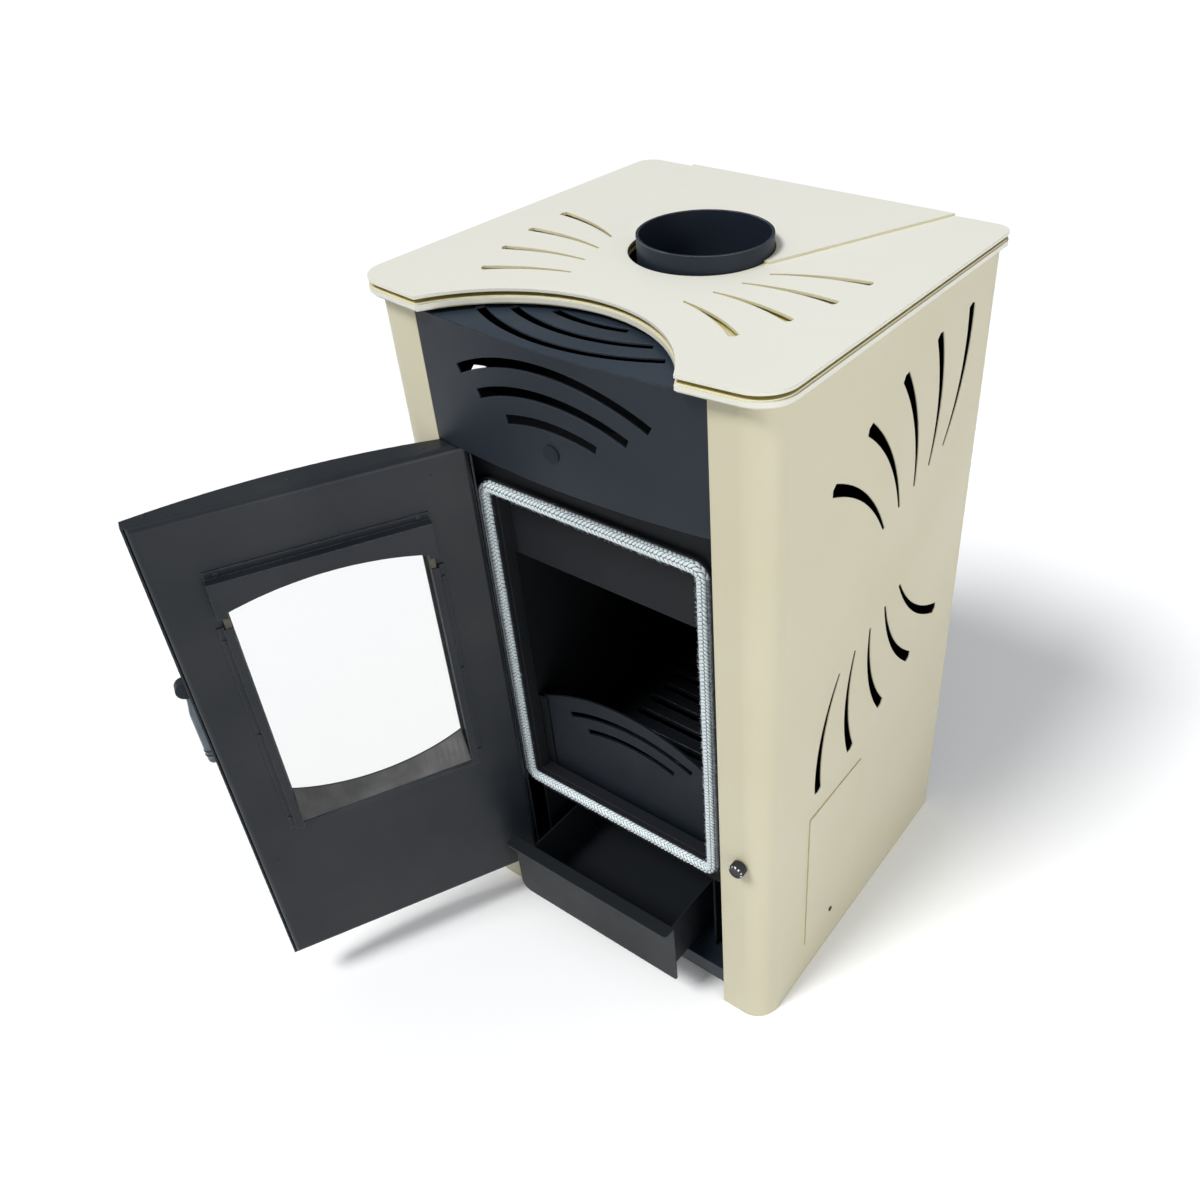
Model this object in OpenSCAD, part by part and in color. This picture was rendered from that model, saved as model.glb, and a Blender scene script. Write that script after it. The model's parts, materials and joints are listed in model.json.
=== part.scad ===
// Wood-burning stove: an enamelled sheet casing with a bitten top, round a welded
// firebox with a bowed, glazed door, an ash drawer, a grate and a flue collar.
// Millimetres, +Z up, floor at z = 0, front towards -Y.
// The origin is on the floor, midway between the sides.

/* [Casing] */
// Width of the top plate
top_w = 470; // [450:5:520]
// How far the top's front corners stand in front of the origin
top_front = 233; // [228:1:245]
// How far the top reaches behind the origin
top_back = 226; // [220:1:245]
// Height of the top surface above the floor
stove_h = 840; // [820:5:900]
// Thickness of the top plate
top_t = 3; // [2:0.5:4]
// Radius of the top's front corners
front_corner_r = 36; // [28:1:40]
// Radius of the top's back corners
back_corner_r = 20; // [12:1:26]
// Height of the cornice plate's rounded rim
cornice_h = 8; // [6:1:12]
// Gap between the cornice plate and the top plate
top_gap = 4; // [3:0.5:6]
// Thickness of the casing sheet
sheet_t = 2; // [1.5:0.5:2.5]
// How far the top stands over the side panels
side_overhang = 9.5; // [7:0.5:12]
// Radius of the casing's front corners
column_r = 30; // [24:1:34]
// Clear width between the two front columns
opening_w = 332; // [326:2:338]
// Radius of the bite in the front of the top
bite_r = 166; // [150:2:180]
// How deep the bite reaches behind the front corners
bite_depth = 87; // [75:1:100]

/* [Flue] */
// Bore of the flue collar
flue_bore = 130; // [121:1:135]
// Wall of the flue collar
flue_wall = 2.5; // [2:0.5:3.5]
// How far the collar stands above the top
flue_rise = 17; // [10:1:30]
// Mean gap round the collar in the top
flue_gap = 5; // [4.5:0.5:7]
// How far the collar stands to the right of the origin
flue_x = 6; // [-6:0.5:6]
// How far the collar stands behind the origin
flue_y = 7.5; // [0:0.5:15]
// Thickness of the cover behind the flue, which lies on the top plate
cover_t = 2.5; // [1.5:0.5:4]
// How far the cover laps over the cut-out under it
cover_lap = 10; // [5:1:14]

/* [Hood] */
// Height of the hood's front
hood_h = 136; // [125:1:150]
// How far the hood's front bows out at its middle
hood_bow = 12; // [8:1:15]
// Width of the arched slots
arc_w = 9.5; // [7:0.5:11]
// Spacing of the arched slots
arc_step = 27; // [24:1:30]
// Diameter of the plug in the hood
plug_d = 18; // [14:1:22]

/* [Door] */
// Width of the door
door_w = 320; // [312:1:322]
// Height of the door's lower edge above the floor
door_bottom = 61; // [58:1:75]
// Thickness of the door at its upright edges
door_edge_t = 18; // [17:0.5:20]
// How far the door bows out at its middle
door_bow = 18; // [14:1:20]
// Thickness of the door's sheet
door_sheet = 2; // [1.5:0.5:2.5]
// Angle at which the door stands open
door_open = 117; // [90:1:117]
// Width of the window
window_w = 196; // [170:2:210]
// Height of the window's sill above the floor
window_z = 270; // [258:1:285]
// From the top of the window's opening up to the middle of the rope
window_gap = 25; // [20:1:45]
// Rise of the window's arched edges
window_arch = 27; // [18:1:34]
// Thickness of the glass
glass_t = 4; // [3:0.5:5]
// Diameter of the hinge pins
pin_d = 6; // [5:0.5:7]
// Running clearance of the hinge pins and the handle's spindle
run_gap = 0.05; // [0.02:0.01:0.08]
// Height of the handle's spindle above the floor
handle_z = 475; // [430:5:500]
// Length of the handle
handle_len = 105; // [80:1:120]
// Diameter of the handle's spindle
spindle_d = 8; // [6:0.5:9]

/* [Seal] */
// Width of the rope seal
rope_w = 14; // [11:0.5:15]
// Thickness of the rope seal
rope_t = 12; // [10:0.5:13]
// Width of the rope's loop, along its middle
seal_w = 278; // [270:1:280]
// Height of the rope's lower run above the floor
seal_bottom = 205; // [200:1:215]
// How far the rope's upper run lies below the door's top
seal_drop = 55; // [43:1:65]
// Radius of the rope's corners
seal_r = 11; // [10:1:26]

/* [Firebox] */
// Depth of the firebox behind the front plate
firebox_d = 318; // [290:2:340]
// Thickness of the firebox plate
firebox_t = 3; // [2:0.5:5]
// How far the firebox's roof lies below the top
firebox_drop = 105; // [90:5:120]
// Height of the hearth plate above the floor
hearth_z = 197; // [192:1:200]
// Pitch of the grate's slots
grate_pitch = 28.5; // [24:0.5:32]
// Width of one slot in the grate
grate_slot = 12; // [8:1:14]
// Height of the log fence at its middle
fence_h = 137; // [110:1:160]
// Height of the base plate above the floor
base_z = 50; // [40:1:52]

/* [Ash drawer] */
// Width of the drawer's front
drawer_w = 249; // [220:1:249]
// Height of the drawer's front
drawer_h = 99; // [85:1:110]
// Length of the drawer's tray
drawer_l = 280; // [240:5:290]
// How far the drawer stands out
drawer_out = 77; // [60:1:80]
// Depth of the drawer's lip
lip_d = 15; // [10:1:18]

/* [Air control] */
// Diameter of the air knob
knob_d = 18; // [16:1:26]
// Length of the air knob
knob_l = 12; // [10:1:24]
// Height of the air knob above the floor
knob_z = 275; // [250:1:300]
// Knurls round the air knob
knurls = 24; // [16:2:30]

/* [Hidden] */
$fn = 96;

// Finishes
cream = "#d9d6c4";
anthracite = "#34383f";
soot = "#17181b";
rope_white = "#dfe6ea";
chrome = "#c9ccd0";
zinc = "#8d9196";
iron = "#101114";
fibre = "#8f8a78";
board = "#5b5347";
plug_blue = "#252c3c";
glass_tint = [0.7, 0.8, 0.85, 0.4];

// General clearances
eps = 0.01;         // overshoot of a cut
seat = 1;           // gap between loose neighbours

// Casing
half_w = top_w / 2;
front_bulge = 4.5;                     // virtual middle of the bowed front edge
front_bow_r = 1900;
top_z = stove_h - top_t;
cornice_top = top_z - top_gap;
casing_top = cornice_top - cornice_h;
casing_x = half_w - side_overhang;
column_front = 16 - top_front;
column_back = column_front + sheet_t;
corner_x = casing_x - column_r;        // middle of the round front corner
corner_y = column_front + column_r;
casing_back = top_back - 12;
open_x = opening_w / 2;
back_fold = 18;
bite_y = bite_depth - top_front - bite_r;
cornice_soft = 1.5;                    // step that rounds the rim's edges
cornice_rim = 15.5;
spacer_r = 8;
spacer_in = 35;                        // from the top's edge to a front spacer
back_spacer_in = 30;
spacer_places = [
    [half_w - spacer_in, spacer_in + 3 - top_front],
    [half_w - back_spacer_in, 60],
    [half_w - back_spacer_in, top_back - back_spacer_in - 1]
];

// Access cover on the right flank
access_y0 = corner_y + 58;
access_y1 = access_y0 + 116;
access_z0 = 55;
access_z1 = 282;
access_lap = 16;
access_t = 1.5;
access_screw_y = -70;
access_screw_z = access_z0 + 9;
access_screw_r = 1.6;
access_screw_l = 4;                    // length past the flank

// Back sheet and its rows of upright slots
rear_x = casing_x - sheet_t - seat;
rear_y = casing_back - 2 * sheet_t;
rear_slot_n = 12;
rear_slot_pitch = 28;
rear_slot_w = 7;
rear_slot_h = 60;
rear_slot_rows = [base_z + 40, stove_h - 180];

// Fans of tapered slots
side_fan_n = 5;
side_fan_wide = [-109.6, stove_h - 141.5];     // wide end of the first slot, y and z
side_fan_tip = [-2.8, stove_h - 241.5];        // thin end of the first slot
side_fan_turn_y = 23;                  // the lower fan is the upper one turned half round
side_fan_turn_z = stove_h - 292.5;
side_slot_w = 13.5;
side_slot_sag = 13;
top_fan_n = 4;
top_fan_wide = [half_w - 91.5, 87.5 - top_front];
top_fan_tip = [half_w - 169.7, 123.5 - top_front];
top_slot_w = 10;
top_slot_sag = -5;
top_tip_w = 2.5;
side_tip_w = 4;
tip_pitch = 33.1;

// Flue
flue_ri = flue_bore / 2;
flue_ro = flue_ri + flue_wall;
flue_hole_r = flue_ro + flue_gap;
flue_hole = [flue_x - 4, flue_y - 1];  // the holes aren't quite round the collar's axis
cover_front_y = 6;
cover_front_x = 80.5;
cover_back_x = 167.5;

// Hood
hood_top = casing_top - 4;
hood_z = hood_top - hood_h;
hood_half = open_x - 0.5;
hood_r = (hood_half * hood_half + hood_bow * hood_bow) / (2 * hood_bow);
hood_apex = column_front - hood_bow;
hood_ear = 18;
arc_n = 3;
arc_r0 = 180;                          // smallest arc of the front, about hood_arc_z
hood_arc_z = hood_z + 65 - arc_r0;
grille_r0 = 163;                       // smallest arc of the grille, about grille_arc_y
grille_arc_x = -7;
grille_arc_y = 5.5;
grille_back = bite_y + bite_r + 40;
hood_plug_z = hood_z + 38;
plug_stem_d = 12;

// Front plate and rope
front_recess = 29;
front_t = 3;
front_y = column_front + front_recess;
front_back = front_y + front_t;
front_low = seal_bottom - 25;
front_high = hood_z + 15;
rope_clear = seat;
mouth_step = 1;                        // from the rope in to the edge of the mouth
mouth_x = seal_w / 2 - rope_w / 2 - mouth_step;
mouth_low = seal_bottom + rope_w / 2 + mouth_step;
mouth_depth = 14;
mouth_t = 2;
mouth_r = max(seal_r - rope_w / 2 - mouth_step, mouth_t + 0.5);
lip_t = 1.6;
lip_h = 6;
strap_x = open_x + sheet_t;            // outer face of the plate's folded sides
strap_y = column_back + sheet_t;       // back of the straps' folds, which lie on the columns
strap_fold = 14;

// Door, modelled shut
door_in = front_y - rope_t - rope_clear;
door_x = door_w / 2;
door_top = hood_z - 2;
seal_top = door_top - seal_drop;
mouth_high = seal_top - rope_w / 2 - mouth_step;
door_front = door_in - door_edge_t;
door_apex = door_front - door_bow;
door_r = (door_x * door_x + door_bow * door_bow) / (2 * door_bow);
rim_back = door_in - 6;                // the outer panel stops short of the tray's face
tray_gap = 1;
tray_x = door_x - door_sheet - tray_gap;
tray_round = 6;
tray_depth = 12;
tray_low = door_bottom + door_sheet + tray_gap;
tray_high = door_top;                  // the tray's top is folded forward over the outer panel
hinge_x = -(door_x - 11.7);
hinge_y = door_in - 10.4;
pin_r = pin_d / 2;
bush_r = pin_r + 2.5;
bush_l = 16;
bracket_t = 3;
washer_t = 2;
win_x = window_w / 2;
win_top = seal_top - window_gap;
win_off = 2.5;                         // the window stands nearer the handle's side
panel_lap_low = 2;                     // by how much the outer panel laps over the opening
panel_lap_high = 20;
panel_win_low = window_z + panel_lap_low;
panel_win_high = win_top - panel_lap_high;
win_r = (win_x * win_x + window_arch * window_arch) / (2 * window_arch);
glass_lap = 6;
glass_foot = 3;                        // the glass's lap under the sill
tape_t = 1;
strip_w = 14.5;
strip_t = 2;
strip_low = window_z;
strip_short = 48;                      // from the strips' ends to the top of the opening
strip_high = win_top - strip_short;
strip_screw_in = 16;
deflector_flange = 8;
deflector_h = 41;
deflector_x = win_x + 10;
deflector_high = seal_top - rope_w / 2 - seat - deflector_flange;
deflector_low = deflector_high - deflector_h;
deflector_off = 12;
deflector_t = 1.5;
deflector_step = 6;                    // from its lower corners to the ends of its arch
deflector_arch = 14;
screw_r = 2.2;
spindle_r = spindle_d / 2;
spindle_x = door_x - 12;
bush_face = door_front - 8;            // outer face of the spindle's bush
bush_flange_r = 11;
bush_stem_r = spindle_r + 3;
hub_t = 11;
hub_back = bush_face - 0.5;
hub_reach = 14;                        // from the spindle out past the door's edge
hub_small_r = 9;
hub_big_r = 10.5;
grip_r = 6.5;
grip_neck_r = 4;
tongue_l = 26;
tongue_t = 3;
tongue_w = 7;
tongue_front = door_in - 10.5;         // inside the door, behind the column's fold
latch_play = 1;
keeper_t = 3;

// Firebox
wall_in = mouth_x;
firebox_back = front_back + firebox_d;
roof_t = firebox_t;
firebox_top = stove_h - firebox_drop;
roof_z = firebox_top - roof_t;
shield_top = casing_top - 28;          // the side walls stand up past the roof
shield_in = 15;
hearth_t = 5;
grate_t = 6;
grate_x = wall_in - 19;
grate_y = -2.6;
grate_n = 7;
grate_d = 220;
grate_lap = 8;
grate_margin = 12;
grate_corner_r = 8;
fence_play = 9;                        // from the fence's end to the wall
holder_lap = 6;
fence_x = wall_in - fence_play;
fence_t = 3;
holder_t = 2;
holder_gap = 0.5;
fence_y = front_y + mouth_depth + holder_t + holder_gap;
fence_z = mouth_low + 7;
fence_end = 32;                        // the fence's ends are lower than its middle
fence_slots = [[22, 23], [45, 18]];    // depth under the top edge, and half angle
fence_slot_w = 8;
fence_slot_x = 8;
baffle_low = mouth_high - 84;
smoke_z = firebox_top - 145;
smoke_t = 15;
smoke_gap = 110;
ledge_w = 14;

// Drawer
base_front = column_front + 7.5;
base_flange = 24;
runner_h = 2;
runner_x = 80;
runner_w = 16;
runner_in = 12;
tray_t = 1.5;
drawer_off = -1.5;                     // the drawer stands a little to the left
drawer_gap = 10;                       // lets the door's face swing past the lip's corner
lip_shut = door_in + drawer_gap;
face_shut = lip_shut + lip_d;
lip_roll_r = 2.5;
lip_corner_r = 5;
drawer_low = base_z + runner_h;
face_low = base_z + seat;
drawer_top = face_low + drawer_h;
drawer_wall_top = drawer_top - 25;
tray_half = drawer_w / 2 - 15;
face_hinge_r = 14;                     // radius of the face's lower corner on the hinge side
face_far_r = 5;

// Air control
knob_x = open_x + 28;
knob_gap = 1;
knob_neck = 1.5;
air_rod_r = 3;
shutter_r = 20;
shutter_gap = 0.3;
boss_l = 6;
port_off = 12;
duct_front = front_back + 34;
duct_d = 60;
duct_h = 56;
duct_rim = 22;                         // from the knob's axis to the duct's outer face
air_hole_r = 16;                       // in the firebox wall, inside the duct
port_r = 6;

// ---------- general shapes ----------

// A box from its lowest to its highest corner
module block(lo, hi) {
    translate(lo)
        cube(hi - lo);
}

// A cylinder along Y, from y0 to y1
module rod_y(x, z, y0, y1, r) {
    translate([x, y1, z])
        rotate([90, 0, 0])
            cylinder(h = y1 - y0, r = r);
}

// A flat shape drawn in x and z, given a depth from y0 to y1
module wall_y(y0, y1) {
    translate([0, y1, 0])
        rotate([90, 0, 0])
            linear_extrude(height = y1 - y0)
                children();
}

// A flat shape drawn in y and z, given a depth from x0 to x1
module wall_x(x0, x1) {
    translate([x0, 0, 0])
        rotate([90, 0, 90])
            linear_extrude(height = x1 - x0)
                children();
}

// A flat rectangle from its lowest to its highest corner
module square_between(lo, hi) {
    translate(lo)
        square(hi - lo);
}

// The same with round corners
module round_rect(lo, hi, r) {
    translate([lo[0] + r, lo[1]])
        square([hi[0] - lo[0] - 2 * r, hi[1] - lo[1]]);
    translate([lo[0], lo[1] + r])
        square([hi[0] - lo[0], hi[1] - lo[1] - 2 * r]);
    for (x = [lo[0] + r, hi[0] - r], y = [lo[1] + r, hi[1] - r])
        translate([x, y])
            circle(r);
}

function along(angle) = [cos(angle), sin(angle)];
function left_of(d) = [-d[1], d[0]];

// Point on a bowed line between a and b, at share t, standing out by sag at its middle
function bowed(a, b, sag, t) = a + (b - a) * t
    + left_of(b - a) / norm(b - a) * sag * 4 * t * (1 - t);

// One tapered slot: w wide at a, and tip wide at b
module tapered_slot(a, b, w, tip, sag) {
    steps = 12;
    c = [for (i = [0:steps]) bowed(a, b, sag, i / steps)];
    d = [for (i = [0:steps]) c[min(i + 1, steps)] - c[max(i - 1, 0)]];
    h = [for (i = [0:steps]) w / 2 + (tip - w) / 2 * i / steps];
    one = [for (i = [0:steps]) c[i] + left_of(d[i]) / norm(d[i]) * h[i]];
    two = [for (i = [steps:-1:0]) c[i] - left_of(d[i]) / norm(d[i]) * h[i]];
    cap = c[0] - d[0] / norm(d[0]) * w * 0.22;
    polygon(concat(one, two, [cap]));
}

// Wide end i of a fan: steps of one length that turn by one angle
function fan_point(start, step, first, turn, i) =
    i == 0 ? start : fan_point(start, step, first, turn, i - 1) + step * along(first + turn * (i - 1));

// ---------- casing ----------

// The top's outline, drawn in by inset on every side
module top_outline(inset) {
    r = front_corner_r - inset;
    rb = back_corner_r - inset;
    x = half_w - inset;
    big = front_bow_r - inset;
    mid = front_bow_r - top_front - front_bulge;
    cy = mid - sqrt(pow(big - r, 2) - pow(x - r, 2));
    touch = (x - r) * big / (big - r);
    back = top_back - inset;
    difference() {
        intersection() {
            translate([0, mid])
                circle(big, $fn = 720);
            union() {
                translate([-touch, cy - 2 * r])
                    square([2 * touch, 2 * r]);
                translate([-x, cy])
                    square([2 * x, back - rb - cy]);
                translate([rb - x, back - 2 * rb])
                    square([2 * (x - rb), 2 * rb]);
                for (s = [-1, 1]) {
                    translate([s * (x - r), cy])
                        circle(r);
                    translate([s * (x - rb), back - rb])
                        circle(rb);
                }
            }
        }
        translate([0, bite_y])
            circle(bite_r + inset, $fn = 180);
    }
}

// The tapering cover behind the flue, drawn in by inset at its front and sides
module cover_outline(inset, back) {
    polygon([
        [inset - cover_front_x, cover_front_y + inset], [cover_front_x - inset, cover_front_y + inset],
        [cover_back_x - inset, back], [inset - cover_back_x, back]
    ]);
}

// The round hole for the collar in the cornice, the top plate and the cover
module flue_opening() {
    translate(flue_hole)
        circle(flue_hole_r, $fn = 180);
}

module top_slots() {
    for (s = [0, 1], i = [0:top_fan_n - 1])
        mirror([s, 0, 0])
            tapered_slot(
                fan_point(top_fan_wide, 55.7, 66.5, 9.2, i),
                top_fan_tip + i * tip_pitch * along(72.9),
                top_slot_w, top_tip_w, top_slot_sag
            );
}

module side_slots() {
    for (i = [0:side_fan_n - 1])
        tapered_slot(
            fan_point(side_fan_wide, 71, 28, -7.6, i),
            side_fan_tip + i * tip_pitch * along(15.7),
            side_slot_w, side_tip_w, side_slot_sag
        );
}

// Plan of a side panel at +x: flank, round front corner, column and a fold at the back
module side_plan() {
    difference() {
        union() {
            square_between([open_x, column_front], [corner_x, corner_y]);
            square_between([corner_x, corner_y], [casing_x, casing_back]);
            square_between([casing_x - back_fold, casing_back - sheet_t], [casing_x, casing_back]);
            translate([corner_x, corner_y])
                circle(column_r);
        }
        square_between([open_x - seat, column_back], [corner_x, casing_back - sheet_t]);
        square_between([open_x - seat, corner_y], [casing_x - sheet_t, casing_back - sheet_t]);
        translate([corner_x, corner_y])
            circle(column_r - sheet_t);
    }
}

module side_panel() {
    difference() {
        linear_extrude(height = casing_top)
            side_plan();
        wall_x(casing_x - sheet_t - eps, casing_x + eps) {
            side_slots();
            translate([2 * side_fan_turn_y, 2 * side_fan_turn_z])
                rotate(180)
                    side_slots();
        }
    }
}

module left_side_panel() {
    color(cream)
        mirror([1, 0, 0])
            side_panel();
}

// The right panel also has the knob's hole and the opening behind the access cover
module right_side_panel() {
    color(cream)
        difference() {
            side_panel();
            rod_y(knob_x, knob_z, column_front - seat, column_back + seat, air_rod_r + seat);
            wall_x(casing_x - sheet_t - eps, casing_x + eps)
                round_rect([access_y0 + access_lap, access_z0 + access_lap],
                    [access_y1 - access_lap, access_z1 - access_lap], 6);
            access_hole();
        }
}

// Screw hole of the access cover, through the cover and the flank
module access_hole() {
    translate([casing_x - sheet_t - eps, access_screw_y, access_screw_z])
        rotate([0, 90, 0])
            cylinder(h = sheet_t + access_t + 2 * eps, r = access_screw_r);
}

module access_cover() {
    color(cream)
        difference() {
            wall_x(casing_x, casing_x + access_t)
                round_rect([access_y0, access_z0], [access_y1, access_z1], 3);
            access_hole();
        }
}

module access_screw() {
    shank = access_screw_l + sheet_t + access_t;
    color(anthracite)
        translate([casing_x + access_t - shank, access_screw_y, access_screw_z])
            rotate([0, 90, 0]) {
                cylinder(h = shank, r = access_screw_r);
                translate([0, 0, shank])
                    cylinder(h = 1.2, r = 2 * access_screw_r);
            }
}

// Back sheet with two rows of upright vent slots
module rear_panel() {
    color(anthracite)
        difference() {
            wall_y(rear_y, rear_y + sheet_t)
                difference() {
                    translate([-rear_x, base_z])
                        square([2 * rear_x, casing_top - base_z]);
                    for (z = rear_slot_rows, i = [0:rear_slot_n - 1])
                        translate([(i - (rear_slot_n - 1) / 2) * rear_slot_pitch - rear_slot_w / 2, z])
                            round_rect([0, 0], [rear_slot_w, rear_slot_h], rear_slot_w / 2 - 0.01);
                }
            rear_screw_places()
                rod_y(0, 0, -sheet_t - eps, eps, 2);
        }
}

module rear_screw_places() {
    for (x = [-1, 1], z = [base_z + 40, (base_z + casing_top) / 2, casing_top - 40])
        translate([x * (casing_x - back_fold / 2 - sheet_t), rear_y + sheet_t, z])
            children();
}

module rear_panel_screws() {
    color(zinc)
        rear_screw_places() {
            rod_y(0, 0, -sheet_t - 3, 0, 2);
            rod_y(0, 0, -sheet_t - 4.5, -sheet_t, 3.6);
        }
}

// Base: a plate with folded sides and back that stand on the floor
module base_plate() {
    x = casing_x - sheet_t;
    y0 = base_front;
    y1 = rear_y;
    color(anthracite)
        difference() {
            block([-x, y0, 0], [x, y1, base_z]);
            block([sheet_t - x, y0 + sheet_t, -eps], [x - sheet_t, y1 - sheet_t, base_z - sheet_t]);
            block([sheet_t - x, y0 - eps, -eps], [x - sheet_t, y0 + sheet_t + eps, base_z - base_flange]);
            for (s = [-1, 1])
                translate([s * corner_x, corner_y, -eps])
                    base_corner(s);
        }
}

// What the round front corner of a side panel takes off the base
module base_corner(s) {
    difference() {
        translate([s > 0 ? 0 : -column_r, -column_r, 0])
            cube([column_r, column_r, base_z + 2 * eps]);
        cylinder(h = base_z + 2 * eps, r = column_r - sheet_t);
    }
}

// Cornice plate: a sheet with a deep rounded rim
module cornice_plate() {
    color(cream)
        difference() {
            union() {
                translate([0, 0, casing_top])
                    linear_extrude(height = cornice_h)
                        top_outline(cornice_soft);
                translate([0, 0, casing_top + cornice_soft])
                    linear_extrude(height = cornice_h - 2 * cornice_soft)
                        top_outline(0);
            }
            translate([0, 0, casing_top - eps])
                linear_extrude(height = cornice_h - sheet_t + eps)
                    top_outline(cornice_rim);
            translate([0, 0, casing_top - eps])
                linear_extrude(height = cornice_h + 2 * eps)
                    flue_opening();
        }
}

// Small discs that hold the top plate off the cornice
module top_spacers() {
    color(zinc)
        for (p = spacer_places, s = [-1, 1])
            translate([s * p[0], p[1], cornice_top])
                cylinder(h = top_gap, r = spacer_r);
}

// Top plate, cut out behind the flue as far as its back edge
module top_plate() {
    color(cream)
        translate([0, 0, top_z])
            linear_extrude(height = top_t)
                difference() {
                    top_outline(0);
                    flue_opening();
                    cover_outline(cover_lap, top_back + seat);
                    top_slots();
                }
}

module flue_cover() {
    color(cream)
        translate([0, 0, stove_h])
            linear_extrude(height = cover_t)
                difference() {
                    cover_outline(0, top_back);
                    flue_opening();
                }
}

module flue_collar() {
    color(anthracite)
        translate([flue_x, flue_y, firebox_top])
            difference() {
                cylinder(h = stove_h + flue_rise - firebox_top, r = flue_ro, $fn = 180);
                translate([0, 0, -eps])
                    cylinder(h = stove_h + flue_rise - firebox_top + 2 * eps, r = flue_ri, $fn = 180);
            }
}

// ---------- hood ----------

// Arched slots that share one centre: ring pieces cut off at both sides
module arc_slots(r0, spans) {
    for (i = [0:arc_n - 1])
        intersection() {
            difference() {
                circle(r0 + i * arc_step + arc_w / 2, $fn = 240);
                circle(r0 + i * arc_step - arc_w / 2, $fn = 240);
            }
            polygon([[0, 0], 2 * r0 * along(90 + spans[i]), [0, 3 * r0], 2 * r0 * along(90 - spans[i])]);
        }
}

module hood_front() {
    color(anthracite)
        difference() {
            union() {
                translate([0, 0, hood_z])
                    linear_extrude(height = hood_h)
                        intersection() {
                            difference() {
                                translate([0, hood_apex + hood_r])
                                    circle(hood_r, $fn = 720);
                                translate([0, hood_apex + hood_r])
                                    circle(hood_r - sheet_t, $fn = 720);
                            }
                            translate([-hood_half, hood_apex - 1])
                                square([2 * hood_half, hood_bow + sheet_t + 4]);
                        }
                for (s = [-1, 1])
                    block([s * open_x - hood_ear, column_back, hood_z + bracket_t + 9],
                        [s * open_x + hood_ear, strap_y, hood_top]);
            }
            wall_y(hood_apex - 1, strap_y + 1)
                translate([0, hood_arc_z])
                    arc_slots(arc_r0, [17.2, 25, 28.4]);
            rod_y(0, hood_plug_z, hood_apex - 1, column_front, plug_stem_d / 2);
        }
}

module hood_grille() {
    color(anthracite)
        difference() {
            translate([0, 0, hood_top - sheet_t])
                linear_extrude(height = sheet_t)
                    intersection() {
                        translate([0, hood_apex + hood_r])
                            circle(hood_r - sheet_t - 0.2, $fn = 720);
                        translate([-hood_half + seat, hood_apex])
                            square([2 * hood_half - 2 * seat, grille_back - hood_apex]);
                    }
            translate([grille_arc_x, grille_arc_y, hood_top - sheet_t - 1])
                linear_extrude(height = sheet_t + 2)
                    mirror([0, 1, 0])
                        arc_slots(grille_r0, [15.2, 25.4, 29.6]);
            for (s = [-1, 1])
                block([s * open_x - hood_ear - seat, hood_apex, hood_top - sheet_t - 1],
                    [s * open_x + hood_ear, strap_y + seat, hood_top + 1]);
        }
}

module hood_plug() {
    color(plug_blue) {
        rod_y(0, hood_plug_z, hood_apex - 1.5, hood_apex, plug_d / 2);
        rod_y(0, hood_plug_z, hood_apex - 0.5, hood_apex + 5, plug_stem_d / 2);
    }
}

// ---------- front plate and rope ----------

module mouth_outline(grow) {
    round_rect([-mouth_x - grow, mouth_low - grow], [mouth_x + grow, mouth_high + grow], mouth_r + grow);
}

// Front plate: an opening with a folded throat, and sides folded out to the columns
module front_plate() {
    keep = slot_box();
    color(anthracite)
        difference() {
            union() {
                block([-strap_x, front_y, front_low], [strap_x, front_back, front_high]);
                for (s = [0, 1])
                    mirror([s, 0, 0]) {
                        block([strap_x - sheet_t, strap_y, base_z], [strap_x, front_back, hood_z - seat]);
                        block([strap_x - sheet_t, column_back, base_z],
                            [strap_x + strap_fold, strap_y, hood_z - seat]);
                    }
                wall_y(front_y, front_y + mouth_depth)
                    mouth_outline(0);
            }
            wall_y(front_y - 1, front_y + mouth_depth + 1)
                mouth_outline(-mouth_t);
            block(keep[0], keep[1]);
        }
}

// The slot that the latch tongue turns into
function slot_box() = [
    [door_x - 8, tongue_front - latch_play, handle_z - tongue_l - 4],
    [strap_x + 10, tongue_front + tongue_t + latch_play, handle_z + tongue_w / 2 + 2]
];

module latch_keeper() {
    keep = slot_box();
    color(zinc)
        difference() {
            block([strap_x, strap_y, keep[0][2] - 16], [strap_x + keeper_t, front_back, keep[1][2] + 16]);
            block(keep[0], keep[1]);
        }
}

// Two low walls that the rope is pressed between
module rope_channel() {
    inner = rope_w / 2;
    color(anthracite)
        wall_y(front_y - lip_h, front_y) {
            difference() {
                rope_loop_outline(inner + 1 + lip_t);
                rope_loop_outline(inner + 1);
            }
            difference() {
                rope_loop_outline(-inner - 0.5);
                rope_loop_outline(-inner - 0.5 - lip_t);
            }
        }
}

// The rope's middle line, drawn out by grow
module rope_loop_outline(grow) {
    x = seal_w / 2 + grow;
    round_rect([-x, seal_bottom - grow], [x, seal_top + grow], seal_r + grow);
}

// Section of the rope, a little wider than thick
module rope_section() {
    r = rope_t / 2;
    for (s = [-1, 1])
        translate([s * (rope_w - rope_t) / 2, 0])
            circle(r, $fn = 48);
    square([rope_w - rope_t, rope_t], center = true);
}

// Straight run of rope from p, l long, turned by a in the x-z plane
module rope_run(p, l, a) {
    translate([p[0], front_y - rope_t / 2, p[1]])
        rotate([0, a, 0])
            linear_extrude(height = l)
                rope_section();
}

// Quarter turn of rope about p; a turns it in the x-z plane
module rope_turn(p, a) {
    translate([p[0], front_y - rope_t / 2, p[1]])
        rotate([90, 0, 0])
            rotate([0, 0, a])
                rotate_extrude(angle = 90)
                    translate([seal_r, 0])
                        rope_section();
}

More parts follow.
